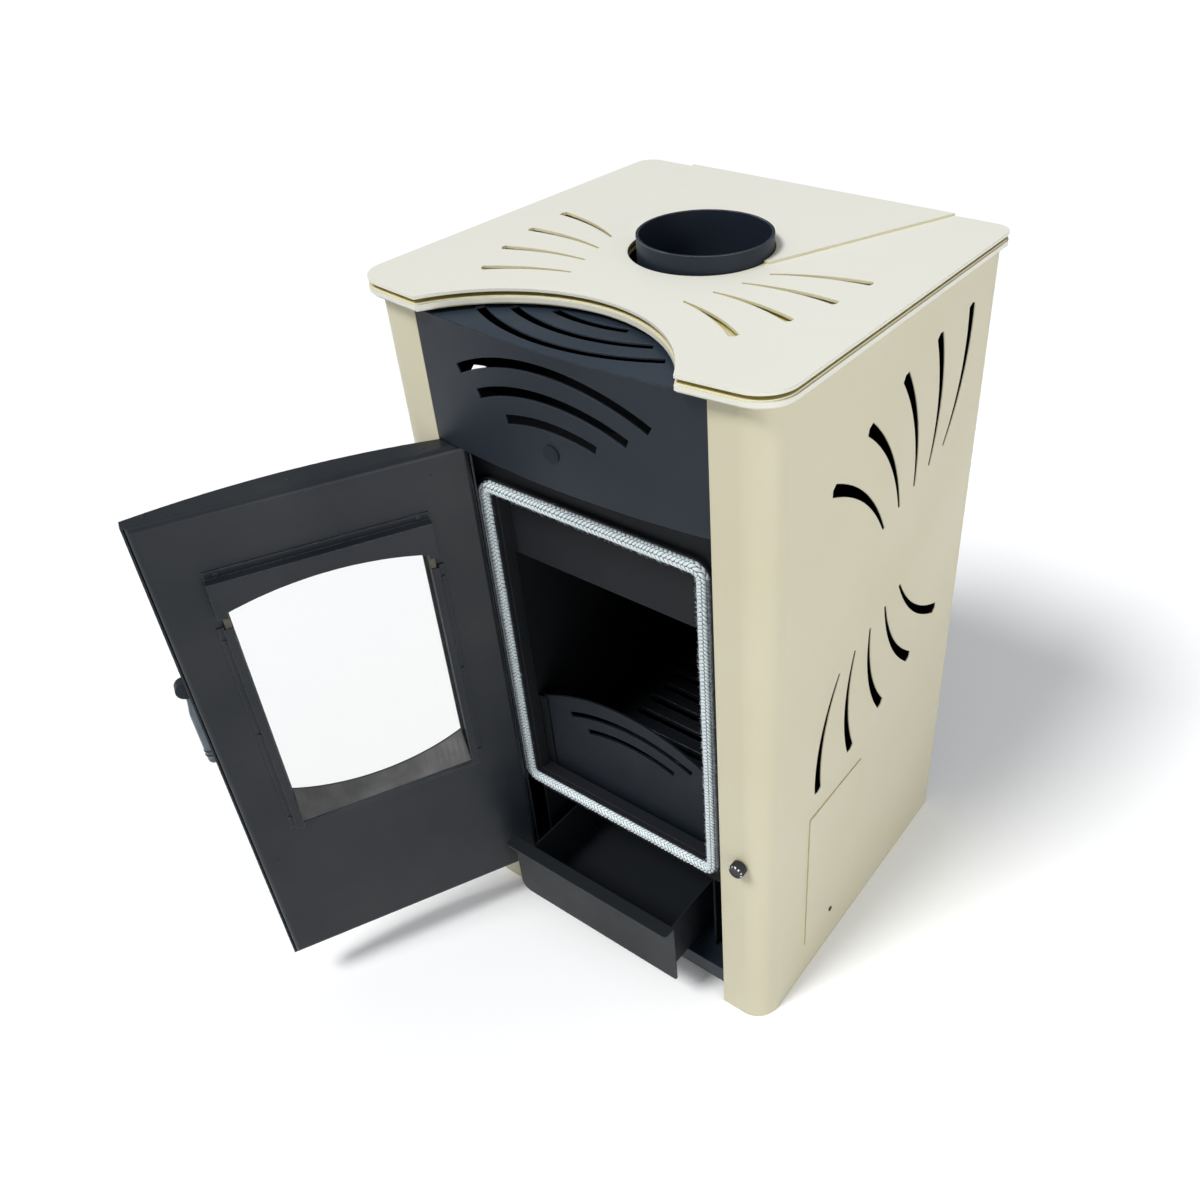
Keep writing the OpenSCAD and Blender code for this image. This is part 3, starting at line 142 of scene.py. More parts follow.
# Real spray grain is about 0.1 mm, too fine to show; it is drawn at 0.7 mm or more, as coarse as shows
paints = {
    # Anthracite stove paint on sheet: dry, a little blue, with painted highlight along its edges
    "black": {
        "name": "anthracite stove paint", "colour": "#1d252e", "tint": "#171f29", "clouds": 0.7,
        "cloudSize": 111.11, "grain": 0.15, "grainSize": 0.7143, "rough": (0.42, 0.54), "specular": 0.32,
        "edge": 0.001},
    # The same paint on the door, wiped often: warmer, clouded and a little smoother, with strong painted
    # highlight along its edges
    "door": {
        "name": "wiped stove paint", "colour": "#26292d", "tint": "#10171f", "clouds": 1.0,
        "cloudSize": 142.86, "grain": 0.12, "grainSize": 0.8333, "rough": (0.36, 0.46), "specular": 0.32,
        "edge": 0.0014, "rubAndHighlight": 0.9},
    # The window's sill: paint made pale as painted light falling on it, matt and patchy
    "sill": {
        "name": "sill paint with painted light", "colour": "#7c7b79", "tint": "#605f60", "clouds": 1.0,
        "cloudSize": 26.316, "grain": 0.2, "grainSize": 1.1111, "rough": (0.5, 0.65), "specular": 0.3},
    # Paint on the collar, bright along its rim: partly scraped wear, partly painted highlight
    "collar": {
        "name": "collar paint", "colour": "#1e2735", "tint": "#18202c", "clouds": 0.8,
        "cloudSize": 71.429, "grain": 0.25, "grainSize": 1.4286, "rough": (0.45, 0.6), "specular": 0.35,
        "edge": 0.0009, "rubAndHighlight": 1.0, "rubAndHighlightSize": 25, "rubAndHighlightColour": "#a9b1ba"},
    # The plug is darker than the sheet round it and stands out as a round spot
    "plug": {
        "name": "blue-black plug", "colour": "#151b27", "tint": "#10151f", "clouds": 0.5,
        "cloudSize": 25, "grain": 0.2, "grainSize": 1.1111, "rough": (0.5, 0.6), "specular": 0.3},
    # The grille lies flat under the bite and catches the room's light: lighter and bluer than the hood
    "grille": {
        "name": "grille paint", "colour": "#2d3845", "tint": "#25303c", "clouds": 0.7,
        "cloudSize": 83.333, "grain": 0.15, "grainSize": 0.7143, "rough": (0.42, 0.54), "specular": 0.32,
        "edge": 0.001},
    # The drawer's paint is dulled by ash and nearly without blue
    "drawer": {
        "name": "drawer paint", "colour": "#1b1e22", "tint": "#14191e", "clouds": 0.8,
        "cloudSize": 83.333, "grain": 0.15, "grainSize": 0.8333, "rough": (0.45, 0.58), "specular": 0.3,
        "edge": 0.0012, "rubAndHighlight": 0.3, "rubAndHighlightColour": "#46525e"},
    # Burnt-in paint inside the firebox: nearly black and quite matt
    "soot": {
        "name": "firebox paint", "colour": "#0d1014", "tint": "#090b0e", "clouds": 0.9,
        "cloudSize": 71.429, "grain": 0.3, "grainSize": 1.25, "rough": (0.6, 0.78), "specular": 0.2,
        "edge": 0.001, "rubAndHighlight": 0.6, "rubAndHighlightColour": "#39434d"},
    # The log fence stands out of the soot: as dark, but bluer, with painted highlight on its edges
    "fence": {
        "name": "log fence paint", "colour": "#0c151e", "tint": "#08111a", "clouds": 0.8,
        "cloudSize": 55.556, "grain": 0.2, "grainSize": 1.1111, "rough": (0.45, 0.6), "specular": 0.35,
        "edge": 0.001, "rubAndHighlight": 0.6, "rubAndHighlightColour": "#4c5761"},
    # The front plate is warmed through in use: flat grey-black without blue
    "plate": {
        "name": "front plate paint", "colour": "#1a1c20", "tint": "#181b1f", "clouds": 0.8,
        "cloudSize": 100, "grain": 0.2, "grainSize": 0.8333, "rough": (0.5, 0.65), "specular": 0.25,
        "edge": 0.001},
    # Sand-cast grate: a pitted skin of 2.4 mm lumps, with painted highlight along the edges of its bars
    "iron": {
        "name": "cast iron", "colour": "#0f151b", "tint": "#0a0e13", "clouds": 0.9,
        "cloudSize": 33.333, "grain": 0.6, "grainSize": 2.381, "rough": (0.45, 0.65), "specular": 0.35,
        "edge": 0.0012, "rubAndHighlight": 1.0, "rubAndHighlightColour": "#8f9ca8"},
    # Woven glass-fibre tape: matt, grey-brown with handling. Its threads are drawn as grain.
    "tape": {
        "name": "glass fibre tape", "colour": "#6b6759", "tint": "#54514a", "clouds": 0.8,
        "cloudSize": 11.111, "grain": 0.6, "grainSize": 0.6667, "rough": (0.8, 0.95)},
    # Pressed vermiculite board: matt brown with coarse 4 mm flakes
    "board": {
        "name": "insulating board", "colour": "#5a5145", "tint": "#463e34", "clouds": 0.8,
        "cloudSize": 40, "grain": 0.8, "grainSize": 3.8462, "rough": (0.8, 0.95)},
}


# Sprayed paint: slight cloudiness, fine grain, softened edges painted lighter as painted highlight, a little
# of it rubbed wear
def paint(look):
    look = {**paintUsual, **look}
    material, tree, shader = newMaterial(look["name"])
    point = addNode(tree, "TexCoord", "Object")
    clouds = addNode(tree, "TexNoise", "Fac", {
        "Vector": point, "Scale": perMetre(look["cloudSize"]), "Detail": 4, "Roughness": 0.5})
    cloudy = addNode(tree, "MapRange", "Result", {
        "Value": clouds, **noiseSpan, "To Min": 0, "To Max": look["clouds"]})
    rough = addNode(tree, "MapRange", "Result", {
        "Value": clouds, **wideSpan, "To Min": look["rough"][0], "To Max": look["rough"][1]})
    colour = addNode(tree, "Mix", 2, {
        0: cloudy, 6: srgb(look["colour"]), 7: srgb(look["tint"])}, data_type="RGBA")
    grain = addNode(tree, "TexNoise", "Fac", {
        "Vector": point, "Scale": perMetre(look["grainSize"]), "Detail": 2, "Roughness": 0.6})
    relief = {"Height": grain, "Strength": look["grain"], "Distance": look["depth"]}
    if look["edge"]:
        relief["Normal"], turn = softEdge(tree, look["edge"])
        # Painted highlight: where an edge turns from the flat it is painted lighter in patches; on the collar
        # this also stands for scraped wear
        patches = addNode(tree, "TexNoise", "Fac", {
            "Vector": point, "Scale": perMetre(look["rubAndHighlightSize"]), "Detail": 4, "Roughness": 0.7})
        wornAndHighlit = addNode(tree, "MapRange", "Result", {
            "Value": patches, **narrowSpan, "To Min": look["leastRubAndHighlight"], "To Max": look["rubAndHighlight"]})
        rubbedAndHighlit = addNode(tree, "Math", "Value", {0: turn, 1: wornAndHighlit}, operation="MULTIPLY")
        colour = addNode(tree, "Mix", 2, {
            0: rubbedAndHighlit, 6: colour, 7: srgb(look["rubAndHighlightColour"])}, data_type="RGBA")
    plug(tree, shader, {
        "Base Color": colour, "Roughness": rough, "Metallic": 0, "Specular IOR Level": look["specular"],
        "Normal": addNode(tree, "Bump", "Normal", relief)})
    return material


# Planes a little within the casing's outer faces, and the middle and radius of its round front corners
outerLook = {
    "flank": 0.2245, "front": -0.216, "back": 0.213, "cornerX": 0.1955, "cornerY": -0.187, "radius": 0.029,
    "least": 0.0002,
}


# 1 on the casing's outer side and 0 on its inner side: past the flank, front or back plane, or further
# than the radius from a front corner's middle
def outerSide(tree):
    look = outerLook
    x = addNode(tree, "SeparateXYZ", "X", {"Vector": addNode(tree, "TexCoord", "Object")})
    y = x.node.outputs["Y"]
    across = addNode(tree, "Math", "Value", {0: x}, operation="ABSOLUTE")
    flank = addNode(tree, "Math", "Value", {0: across, 1: look["flank"]}, operation="GREATER_THAN")
    front = addNode(tree, "Math", "Value", {0: y, 1: look["front"]}, operation="LESS_THAN")
    back = addNode(tree, "Math", "Value", {0: y, 1: look["back"]}, operation="GREATER_THAN")
    outX = addNode(tree, "Math", "Value", {0: across, 1: look["cornerX"]}, operation="SUBTRACT")
    outY = addNode(tree, "Math", "Value", {0: look["cornerY"], 1: y}, operation="SUBTRACT")
    pastX = addNode(tree, "Math", "Value", {0: outX, 1: look["least"]}, operation="GREATER_THAN")
    pastY = addNode(tree, "Math", "Value", {0: outY, 1: look["least"]}, operation="GREATER_THAN")
    inCorner = addNode(tree, "Math", "Value", {0: pastX, 1: pastY}, operation="MULTIPLY")
    squareX = addNode(tree, "Math", "Value", {0: outX, 1: outX}, operation="MULTIPLY")
    squareY = addNode(tree, "Math", "Value", {0: outY, 1: outY}, operation="MULTIPLY")
    squares = addNode(tree, "Math", "Value", {0: squareX, 1: squareY}, operation="ADD")
    beyond = addNode(tree, "Math", "Value", {0: squares, 1: look["radius"] ** 2}, operation="GREATER_THAN")
    corner = addNode(tree, "Math", "Value", {0: beyond, 1: inCorner}, operation="MULTIPLY")
    outer = flank
    for face in (front, back, corner):
        outer = addNode(tree, "Math", "Value", {0: outer, 1: face}, operation="MAXIMUM")
    return outer


# What both enamels share. Real orange peel is about 1 mm across, and is drawn a little coarser to show.
enamelUsual = {
    "cloudSize": 200, "clouds": 0.6, "rough": (0.36, 0.44), "specular": 0.45, "shelterSamples": 4,
    "open": 0.62, "shut": 0.2, "peelSize": 1.4286, "peel": 0.04, "depth": 0.0004, "edge": 0.0009,
    "paintedInnerShade": "",
}

enamels = {
    # Cream enamel on the casing: even, a little glossy, with painted olive shade in its seams and painted
    # dark shade on its inner side
    "casing": {
        "name": "cream enamel", "colour": "#d9d3b8", "tint": "#d3ccae", "shelter": 0.016,
        "deep": "#cbc07c", "deepShare": 0.9, "paintedInnerShade": "#0d0f12"},
    # The top plates get a paler copy of the cream enamel, painted lighter as the light falling from above
    "top": {
        "name": "cream enamel with painted top light", "colour": "#efeee3", "tint": "#ebe9db", "shelter": 0.02,
        "deep": "#cfc05a", "deepShare": 1.0},
}


# Enamel: faint clouds, fine orange peel, soft edges, painted olive shade where it is shut in, and painted
# dark shade on a given inner side
def enamel(look):
    look = {**enamelUsual, **look}
    material, tree, shader = newMaterial(look["name"])
    point = addNode(tree, "TexCoord", "Object")
    clouds = addNode(tree, "TexNoise", "Fac", {
        "Vector": point, "Scale": perMetre(look["cloudSize"]), "Detail": 3, "Roughness": 0.5})
    cloudy = addNode(tree, "MapRange", "Result", {
        "Value": clouds, **noiseSpan, "To Min": 0, "To Max": look["clouds"]})
    rough = addNode(tree, "MapRange", "Result", {
        "Value": clouds, **noiseSpan, "To Min": look["rough"][0], "To Max": look["rough"][1]})
    colour = addNode(tree, "Mix", 2, {
        0: cloudy, 6: srgb(look["colour"]), 7: srgb(look["tint"])}, data_type="RGBA")
    # Painted shade: olive is mixed in where ambient occlusion finds the enamel shut in, in seams and slots
    shelter = addNode(
        tree, "AmbientOcclusion", "AO", {"Distance": look["shelter"]}, samples=look["shelterSamples"])
    deep = addNode(tree, "MapRange", "Result", {
        "Value": shelter, "From Min": look["open"], "From Max": look["shut"], "To Min": 0,
        "To Max": look["deepShare"]})
    colour = addNode(tree, "Mix", 2, {0: deep, 6: colour, 7: srgb(look["deep"])}, data_type="RGBA")
    # Painted shade: the casing's inner side, inside outerSide's planes, is painted near black
    if look["paintedInnerShade"]:
        colour = addNode(tree, "Mix", 2, {
            0: outerSide(tree), 6: srgb(look["paintedInnerShade"]), 7: colour}, data_type="RGBA")
    peel = addNode(tree, "TexNoise", "Fac", {
        "Vector": point, "Scale": perMetre(look["peelSize"]), "Detail": 2, "Roughness": 0.5})
    normal = addNode(tree, "Bump", "Normal", {
        "Height": peel, "Strength": look["peel"], "Distance": look["depth"],
        "Normal": softEdge(tree, look["edge"])[0]})
    plug(tree, shader, {
        "Base Color": colour, "Roughness": rough, "Specular IOR Level": look["specular"], "Normal": normal})
    return material


# Drawing lines on real plating are finer than the render shows, so 1.1 mm grain stands for them
metalUsual = {"dullAndDarkReflectionShare": 0.5, "grainSize": 1.1111, "grain": 0.05, "depth": 0.0003, "edge": 0.0004}

metals = {
    # Zinc plating: pale grey and half dull, with cloudy spangle
    "zinc": {
        "name": "zinc plated steel", "colour": "#8a8d92", "dullAndDarkReflection": "#5f6266", "rough": (0.3, 0.45),
        "smearAndReflectionSize": 16.667},
    # Chrome on the grip: a dark mirror, painted dark with darker smears as painted reflection of dark
    # surroundings
    "chrome": {
        "name": "chrome with painted dark reflections", "colour": "#646c72", "dullAndDarkReflection": "#1b2025", "rough": (0.08, 0.2),
        "smearAndReflectionSize": 22.222},
}


# Plated metal, darker in smeared patches: on zinc duller plating, on the chrome painted dark reflection
def metal(look):
    look = {**metalUsual, **look}
    material, tree, shader = newMaterial(look["name"])
    point = addNode(tree, "TexCoord", "Object")
    smearAndReflectionNoise = addNode(tree, "TexNoise", "Fac", {
        "Vector": point, "Scale": perMetre(look["smearAndReflectionSize"]), "Detail": 4, "Roughness": 0.5})
    dullAndDarkReflectionMix = addNode(tree, "MapRange", "Result", {
        "Value": smearAndReflectionNoise, **noiseSpan, "To Min": 0, "To Max": look["dullAndDarkReflectionShare"]})
    rough = addNode(tree, "MapRange", "Result", {
        "Value": smearAndReflectionNoise, **noiseSpan, "To Min": look["rough"][0], "To Max": look["rough"][1]})
    colour = addNode(tree, "Mix", 2, {
        0: dullAndDarkReflectionMix, 6: srgb(look["colour"]), 7: srgb(look["dullAndDarkReflection"])}, data_type="RGBA")
    grain = addNode(tree, "TexNoise", "Fac", {
        "Vector": point, "Scale": perMetre(look["grainSize"]), "Detail": 2, "Roughness": 0.5})
    normal = addNode(tree, "Bump", "Normal", {
        "Height": grain, "Strength": look["grain"], "Distance": look["depth"],
        "Normal": softEdge(tree, look["edge"])[0]})
    plug(tree, shader, {"Base Color": colour, "Roughness": rough, "Metallic": 1, "Normal": normal})
    return material


glassLook = {
    "name": "ceramic glass", "colour": "#6a7074", "haze": "#7c8286", "wipeSize": 111.11, "specular": 0.3,
    "alpha": 0.035, "rough": (0.04, 0.1),
}


# Clear ceramic glass, wiped but a little hazy in 11 cm strokes
def glass():
    look = glassLook
    material, tree, shader = newMaterial(look["name"])
    point = addNode(tree, "TexCoord", "Object")
    wipe = addNode(tree, "TexNoise", "Fac", {
        "Vector": point, "Scale": perMetre(look["wipeSize"]), "Detail": 2, "Roughness": 0.5})
    colour = addNode(tree, "Mix", 2, {
        0: wipe, 6: srgb(look["colour"]), 7: srgb(look["haze"])}, data_type="RGBA")
    rough = addNode(tree, "MapRange", "Result", {
        "Value": wipe, **noiseSpan, "To Min": look["rough"][0], "To Max": look["rough"][1]})
    plug(tree, shader, {
        "Base Color": colour, "Roughness": rough, "Specular IOR Level": look["specular"],
        "Alpha": look["alpha"]})
    return material


# Glass filaments are about 0.01 mm thick; 0.7 mm grain stands for the yarn's strands
yarnLook = {
    "name": "braided glass rope", "colour": "#f0fcff", "soot": "#dceef6", "sootSize": 35.714,
    "sootShare": 0.5, "shade": "#1c272e", "rough": 0.42, "specular": 0.8, "sheen": 1, "sheenRough": 0.4,
    "grainSize": 0.6667, "grain": 0.5, "depth": 0.0004,
}


# Braided glass rope: bluish white yarn with a silky sheen, dark with painted shade where the stitches part
def ropeYarn():
    look = yarnLook
    material, tree, shader = newMaterial(look["name"])
    point = addNode(tree, "TexCoord", "Object")
    soot = addNode(tree, "TexNoise", "Fac", {
        "Vector": point, "Scale": perMetre(look["sootSize"]), "Detail": 4, "Roughness": 0.6})
    sooty = addNode(tree, "MapRange", "Result", {
        "Value": soot, "From Min": 0.4, "From Max": 0.75, "To Min": 0, "To Max": look["sootShare"]})
    yarn = addNode(tree, "Mix", 2, {
        0: sooty, 6: srgb(look["colour"]), 7: srgb(look["soot"])}, data_type="RGBA")
    gap = addNode(tree, "Attribute", "Fac", attribute_name="gap")
    shade = addNode(tree, "MapRange", "Result", {
        "Value": gap, "From Min": 0.5, "From Max": 0.8, "To Min": 0, "To Max": 1})
    colour = addNode(tree, "Mix", 2, {0: shade, 6: yarn, 7: srgb(look["shade"])}, data_type="RGBA")
    strands = addNode(tree, "TexNoise", "Fac", {
        "Vector": point, "Scale": perMetre(look["grainSize"]), "Detail": 3, "Roughness": 0.7})
    normal = addNode(tree, "Bump", "Normal", {
        "Height": strands, "Strength": look["grain"], "Distance": look["depth"]})
    plug(tree, shader, {
        "Base Color": colour, "Roughness": look["rough"], "Specular IOR Level": look["specular"],
        "Sheen Weight": look["sheen"], "Sheen Roughness": look["sheenRough"], "Normal": normal})
    return material


knobPaint = {
    "name": "knurled black plastic", "colour": "#0b0d12", "mottle": "#181c24", "mottleSize": 3.3333,
    "glintColour": "#f1f3f2", "glintSize": 2.381, "rough": (0.38, 0.2),
}


# Dark moulded knob, mottled, with painted white glints round its rim
def knobFinish():
    look = knobPaint
    material, tree, shader = newMaterial(look["name"])
    point = addNode(tree, "TexCoord", "Object")
    glintNoise = addNode(tree, "TexNoise", "Fac", {
        "Vector": point, "Scale": perMetre(look["glintSize"]), "Detail": 3, "Roughness": 0.5})
    glints = addNode(tree, "MapRange", "Result", {
        "Value": glintNoise, "From Min": 0.38, "From Max": 0.5, "To Min": 0, "To Max": 1})
    rim = addNode(tree, "Attribute", "Fac", attribute_name="rim")
    bright = addNode(tree, "Math", "Value", {0: rim, 1: glints}, operation="MULTIPLY")
    mottle = addNode(tree, "TexNoise", "Fac", {
        "Vector": point, "Scale": perMetre(look["mottleSize"]), "Detail": 3, "Roughness": 0.5})
    plastic = addNode(tree, "Mix", 2, {
        0: mottle, 6: srgb(look["colour"]), 7: srgb(look["mottle"])}, data_type="RGBA")
    colour = addNode(tree, "Mix", 2, {0: bright, 6: plastic, 7: srgb(look["glintColour"])}, data_type="RGBA")
    rough = addNode(tree, "MapRange", "Result", {
        "Value": bright, "To Min": look["rough"][0], "To Max": look["rough"][1]})
    plug(tree, shader, {"Base Color": colour, "Roughness": rough})
    return material


finishes = {}


def makeFinishes():
    for make, looks in ((enamel, enamels), (paint, paints), (metal, metals)):
        for key, look in looks.items():
            finishes[key] = make(look)
    finishes["rope"] = ropeYarn()
    finishes["knob"] = knobFinish()
    finishes["glass"] = glass()
    print("finishes made")


# Nodes whose finish differs from their slot's usual one
finishOf = {
    "top_plate": "top", "cornice_plate": "top", "flue_cover": "top",
    "flue_collar": "collar", "hood_grille": "grille", "hood_plug": "plug",
    "front_plate": "plate", "rope_channel": "plate", "drop_baffle": "plate",
    "firebox_roof": "soot", "log_fence": "fence", "drawer_tray": "drawer", "drawer_front": "drawer",
    "door_panel": "door", "door_tray": "door", "glass_strip_left": "door", "glass_strip_right": "door",
    "air_deflector": "door", "door_screws": "door", "spindle_bush": "door",
}


def finishFrame():
    for part in frame["record"]["subparts"]:
        node = frame["nodes"][part["node"]]
        node.data.materials.clear()
        node.data.materials.append(finishes[finishOf.get(part["node"], part["material_slot"])])
    print("frame finished")


# Piece made from points and four-cornered faces, with numbers on its points for the finish to read
def meshPiece(name, points, faces, finish, body, values=None):
    mesh = bpy.data.meshes.new(name)
    mesh.vertices.add(len(points))
    mesh.vertices.foreach_set("co", np.ascontiguousarray(points, np.float32).ravel())
    mesh.loops.add(faces.size)
    mesh.loops.foreach_set("vertex_index", np.ascontiguousarray(faces, np.int32).ravel())
    mesh.polygons.add(len(faces))
    mesh.polygons.foreach_set("loop_start", np.arange(0, faces.size, 4, dtype=np.int32))
    mesh.update(calc_edges=True)
    mesh.polygons.foreach_set("use_smooth", np.ones(len(mesh.polygons), bool))
    for key, data in (values or {}).items():
        layer = mesh.attributes.new(key, "FLOAT", "POINT")
        layer.data.foreach_set("value", np.ascontiguousarray(data, np.float32).ravel())
    mesh.materials.append(finishes[finish])
    piece = bpy.data.objects.new(name, mesh)
    scene.collection.objects.link(piece)
    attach(piece, body)
    return piece


# Piece from a grid of points: each face joins a point to the next in its row and column. The grid is
# closed round its columns and, for a ring, along its rows. Where the corners taken from the middle
# span a negative volume, the faces look inward, and all are turned round.
def gridPiece(name, points, ring, finish, body, values=None):
    rows, columns = points.shape[:2]
    index = np.arange(rows * columns).reshape(rows, columns)
    ahead = np.roll(index, -1, 0)
    if not ring:
        index, ahead = index[:-1], ahead[:-1]
    corners = (index, ahead, np.roll(ahead, -1, 1), np.roll(index, -1, 1))
    faces = np.stack([c.ravel() for c in corners], 1)
    flat = points.reshape(-1, 3)
    a, b, c, d = (flat[faces[:, k]] - flat.mean(0) for k in range(4))
    if np.sum(a * (np.cross(b, c) + np.cross(c, d))) < 0:
        faces = faces[:, ::-1]
    return meshPiece(name, flat, faces, finish, body, values)


ropeLook = {
    "halfWidth": 0.139, "low": 0.205, "high": 0.628, "corner": 0.011, "y": -0.194,    # its middle line
    "side": 0.007, "depth": 0.006, "square": 2.5,       # half sizes of its section, and how square that is
    "firstRow": -99, "row": 60,                         # degrees round it where rows start, and their width
    "pitch": 0.0048, "lean": 0.8, "inset": 0.0015,      # length, slant and depth of a stitch
    "stitchPower": 0.8, "rowPower": 0.3, "uneven": 0.05,    # how a stitch rounds off, and its unevenness
    "shown": (-70, 240), "hidden": (240, 290),          # degrees drawn finely in front, and coarsely behind
    "drift": (0.05, 0.16), "driftWaves": (3, 7, 12, 19, 31),             # wander of the stitches, in pitches
    "slack": 0.03, "slackWaves": (5, 11, 23, 47, 90, 131), "slackShare": 0.25,    # wander of the thickness
    "along": 2150, "around": 44, "front": 38, "seed": 4,
}


# Point and outward direction on the rope's middle line, at shares of its length: a rounded rectangle of
# four straight runs, each start plus direction times length, and four quarter circles between them
def ropeLine(share, look):
    x, low, high, r = look["halfWidth"], look["low"], look["high"], look["corner"]
    flat, tall, turn = 2 * (x - r), high - low - 2 * r, math.pi / 2 * r
    starts = np.concatenate([[0], np.cumsum([flat, turn, tall, turn] * 2)])
    s = (share % 1) * starts[-1]
    part = np.clip(np.searchsorted(starts, s, side="right") - 1, 0, 7)
    t = s - starts[part]
    # Each stretch: where it starts or turns, which way it runs, which way is out at its start
    runs = np.array([[r - x, high, 1, 0, 0, 1], [x - r, high - r, 0, 0, 0, 1],
                     [x, high - r, 0, -1, 1, 0], [x - r, low + r, 0, 0, 1, 0],
                     [x - r, low, -1, 0, 0, -1], [r - x, low + r, 0, 0, 0, -1],
                     [-x, low + r, 0, 1, -1, 0], [r - x, high - r, 0, 0, -1, 0]])[part]
    out = runs[:, 4:6]
    clockwise = np.stack([out[:, 1], -out[:, 0]], 1)
    angle = (t / r)[:, None]
    curved = (part % 2 == 1)[:, None]
    outward = np.where(curved, out * np.cos(angle) + clockwise * np.sin(angle), out)
    middle = runs[:, 0:2] + np.where(curved, r * outward, runs[:, 2:4] * t[:, None])
    return middle, outward, starts[-1]


# The braid: rows of slanted stitches round a slightly flat rope of glass yarn. The section is a rounded
# square, cosine and sine each raised to two over "square". It is drawn in between the stitches, whose
# height is the sine of their phase along the rope times a parabola across their row, both rounded off.
def addRope():
    look = ropeLook
    rng = np.random.default_rng(look["seed"])
    share = np.arange(look["along"]) / look["along"]
    middle, outward, length = ropeLine(share, look)
    hidden = np.linspace(*look["hidden"], look["around"] - look["front"] + 2)[1:-1]
    degrees = np.concatenate([np.linspace(*look["shown"], look["front"]), hidden])
    angle = np.radians(degrees)

    place = (degrees - look["firstRow"]) / look["row"]
    row = np.floor(place)
    f = place - row
    lean = np.where(row % 2 == 0, 1, -1) * (f - 0.5) * look["lean"]
    drift = sum(rng.uniform(*look["drift"]) * np.sin(2 * np.pi * (k * share + rng.random()))
                for k in look["driftWaves"])
    phase = (share * round(length / look["pitch"]) + drift)[:, None] + (lean + 0.5 * row)[None, :]
    stitch = np.abs(np.sin(np.pi * phase)) ** look["stitchPower"]
    height = stitch * (np.clip(4 * f * (1 - f), 0, 1) ** look["rowPower"])[None, :]
    height = np.clip(height + rng.normal(0, look["uneven"], height.shape), 0, 1)

    power = 2 / look["square"]
    side = look["side"] * np.sign(np.cos(angle)) * np.abs(np.cos(angle)) ** power
    depth = look["depth"] * np.sign(np.sin(angle)) * np.abs(np.sin(angle)) ** power
    wander = sum(np.sin(2 * np.pi * (k * share + rng.random())) for k in look["slackWaves"])
    loose = 1 - look["slack"] * (1 + wander * look["slackShare"])
    size = loose[:, None] * (1 - look["inset"] / look["side"] * (1 - height))
    points = np.empty(height.shape + (3,))
    points[..., 0] = middle[:, 0, None] + outward[:, 0, None] * side * size
    points[..., 1] = look["y"] - depth * size
    points[..., 2] = middle[:, 1, None] + outward[:, 1, None] * side * size
    piece = gridPiece("rope_braid", points, True, "rope", "stove", {"gap": 1 - height})
    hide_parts("rope_seal")
    addFuzz(look, rng)
    print("rope laid")


fuzzLook = {
    "count": 4200, "outerShare": 0.7, "outer": (125, 190), "inner": (-20, 60),    # degrees of its two edges
    "rootSide": 0.93, "rootDepth": 0.9,                 # roots, as shares of the rope's half sizes
    "reach": (2.0, 0.0008), "least": 0.0005, "most": 0.004,    # gamma spread of the lengths, and its limits
    "lean": 0.9, "bend": 0.35, "thick": (0.00011, 0.0002), "taper": (1, 0.8, 0.25), "sides": 3,
}


# Loose fibres along the rope's edges: three-sided tubes through a root, a bend and a tip. The tip stands
# off the root by reach outward and a random share of reach along; the bend is half way, pushed along.
def addFuzz(rope, rng):
    look = fuzzLook
    count, sides = look["count"], look["sides"]
    middle, outward, length = ropeLine(rng.random(count), rope)
    degrees = np.where(rng.random(count) < look["outerShare"],
                       rng.uniform(*look["outer"], count), rng.uniform(*look["inner"], count))
    lateral = np.cos(np.radians(degrees)) * rope["side"] * look["rootSide"]
    depth = rope["y"] - np.sin(np.radians(degrees)) * rope["depth"] * look["rootDepth"]
    side = np.sign(lateral)
    nought = np.zeros(count)
    root = np.stack([middle[:, 0] + outward[:, 0] * lateral, depth,
                     middle[:, 1] + outward[:, 1] * lateral], 1)
    along = np.stack([-outward[:, 1], nought, outward[:, 0]], 1)
    away = np.stack([outward[:, 0] * side, nought, outward[:, 1] * side], 1)
    reach = rng.gamma(*look["reach"], count).clip(look["least"], look["most"])[:, None]
    tip = root + away * reach + along * reach * rng.normal(0, look["lean"], count)[:, None]
    bend = (root + tip) / 2 + along * reach * rng.normal(0, look["bend"], count)[:, None]
    thick = rng.uniform(*look["thick"], count)[:, None] * np.array(look["taper"])

    turn = (2 * np.pi * np.arange(sides) / sides)[None, :, None]
    across = np.stack([nought, -side, nought], 1)
    offset = along[:, None] * np.cos(turn) + across[:, None] * np.sin(turn)
    centres = np.stack([root, bend, tip], 1)
    points = (centres[:, :, None] + offset[:, None] * thick[:, :, None, None]).reshape(-1, 3)
    quads = [[ring + k, ring + (k + 1) % sides, ring + sides + (k + 1) % sides, ring + sides + k]
             for ring in (0, sides) for k in range(sides)]
    faces = (np.arange(count)[:, None, None] * 3 * sides + np.array(quads)[None]).reshape(-1, 4)
    meshPiece("rope_fuzz", points, faces, "rope", "stove", {"gap": np.zeros(len(points))})


doorHinge = {"x": -0.1483, "y": -0.2114, "open": 117}    # the hinge's axis, and degrees the door stands open


# Place on the open door of a point given with the door shut: turned clockwise about the hinge
def opened(x, y, z):
    turn = math.radians(doorHinge["open"])
    dx, dy = x - doorHinge["x"], y - doorHinge["y"]
    return Vector((doorHinge["x"] + dx * math.cos(turn) + dy * math.sin(turn),
                   doorHinge["y"] - dx * math.sin(turn) + dy * math.cos(turn), z))


pole = 0.0001    # radius at which a turned profile ends


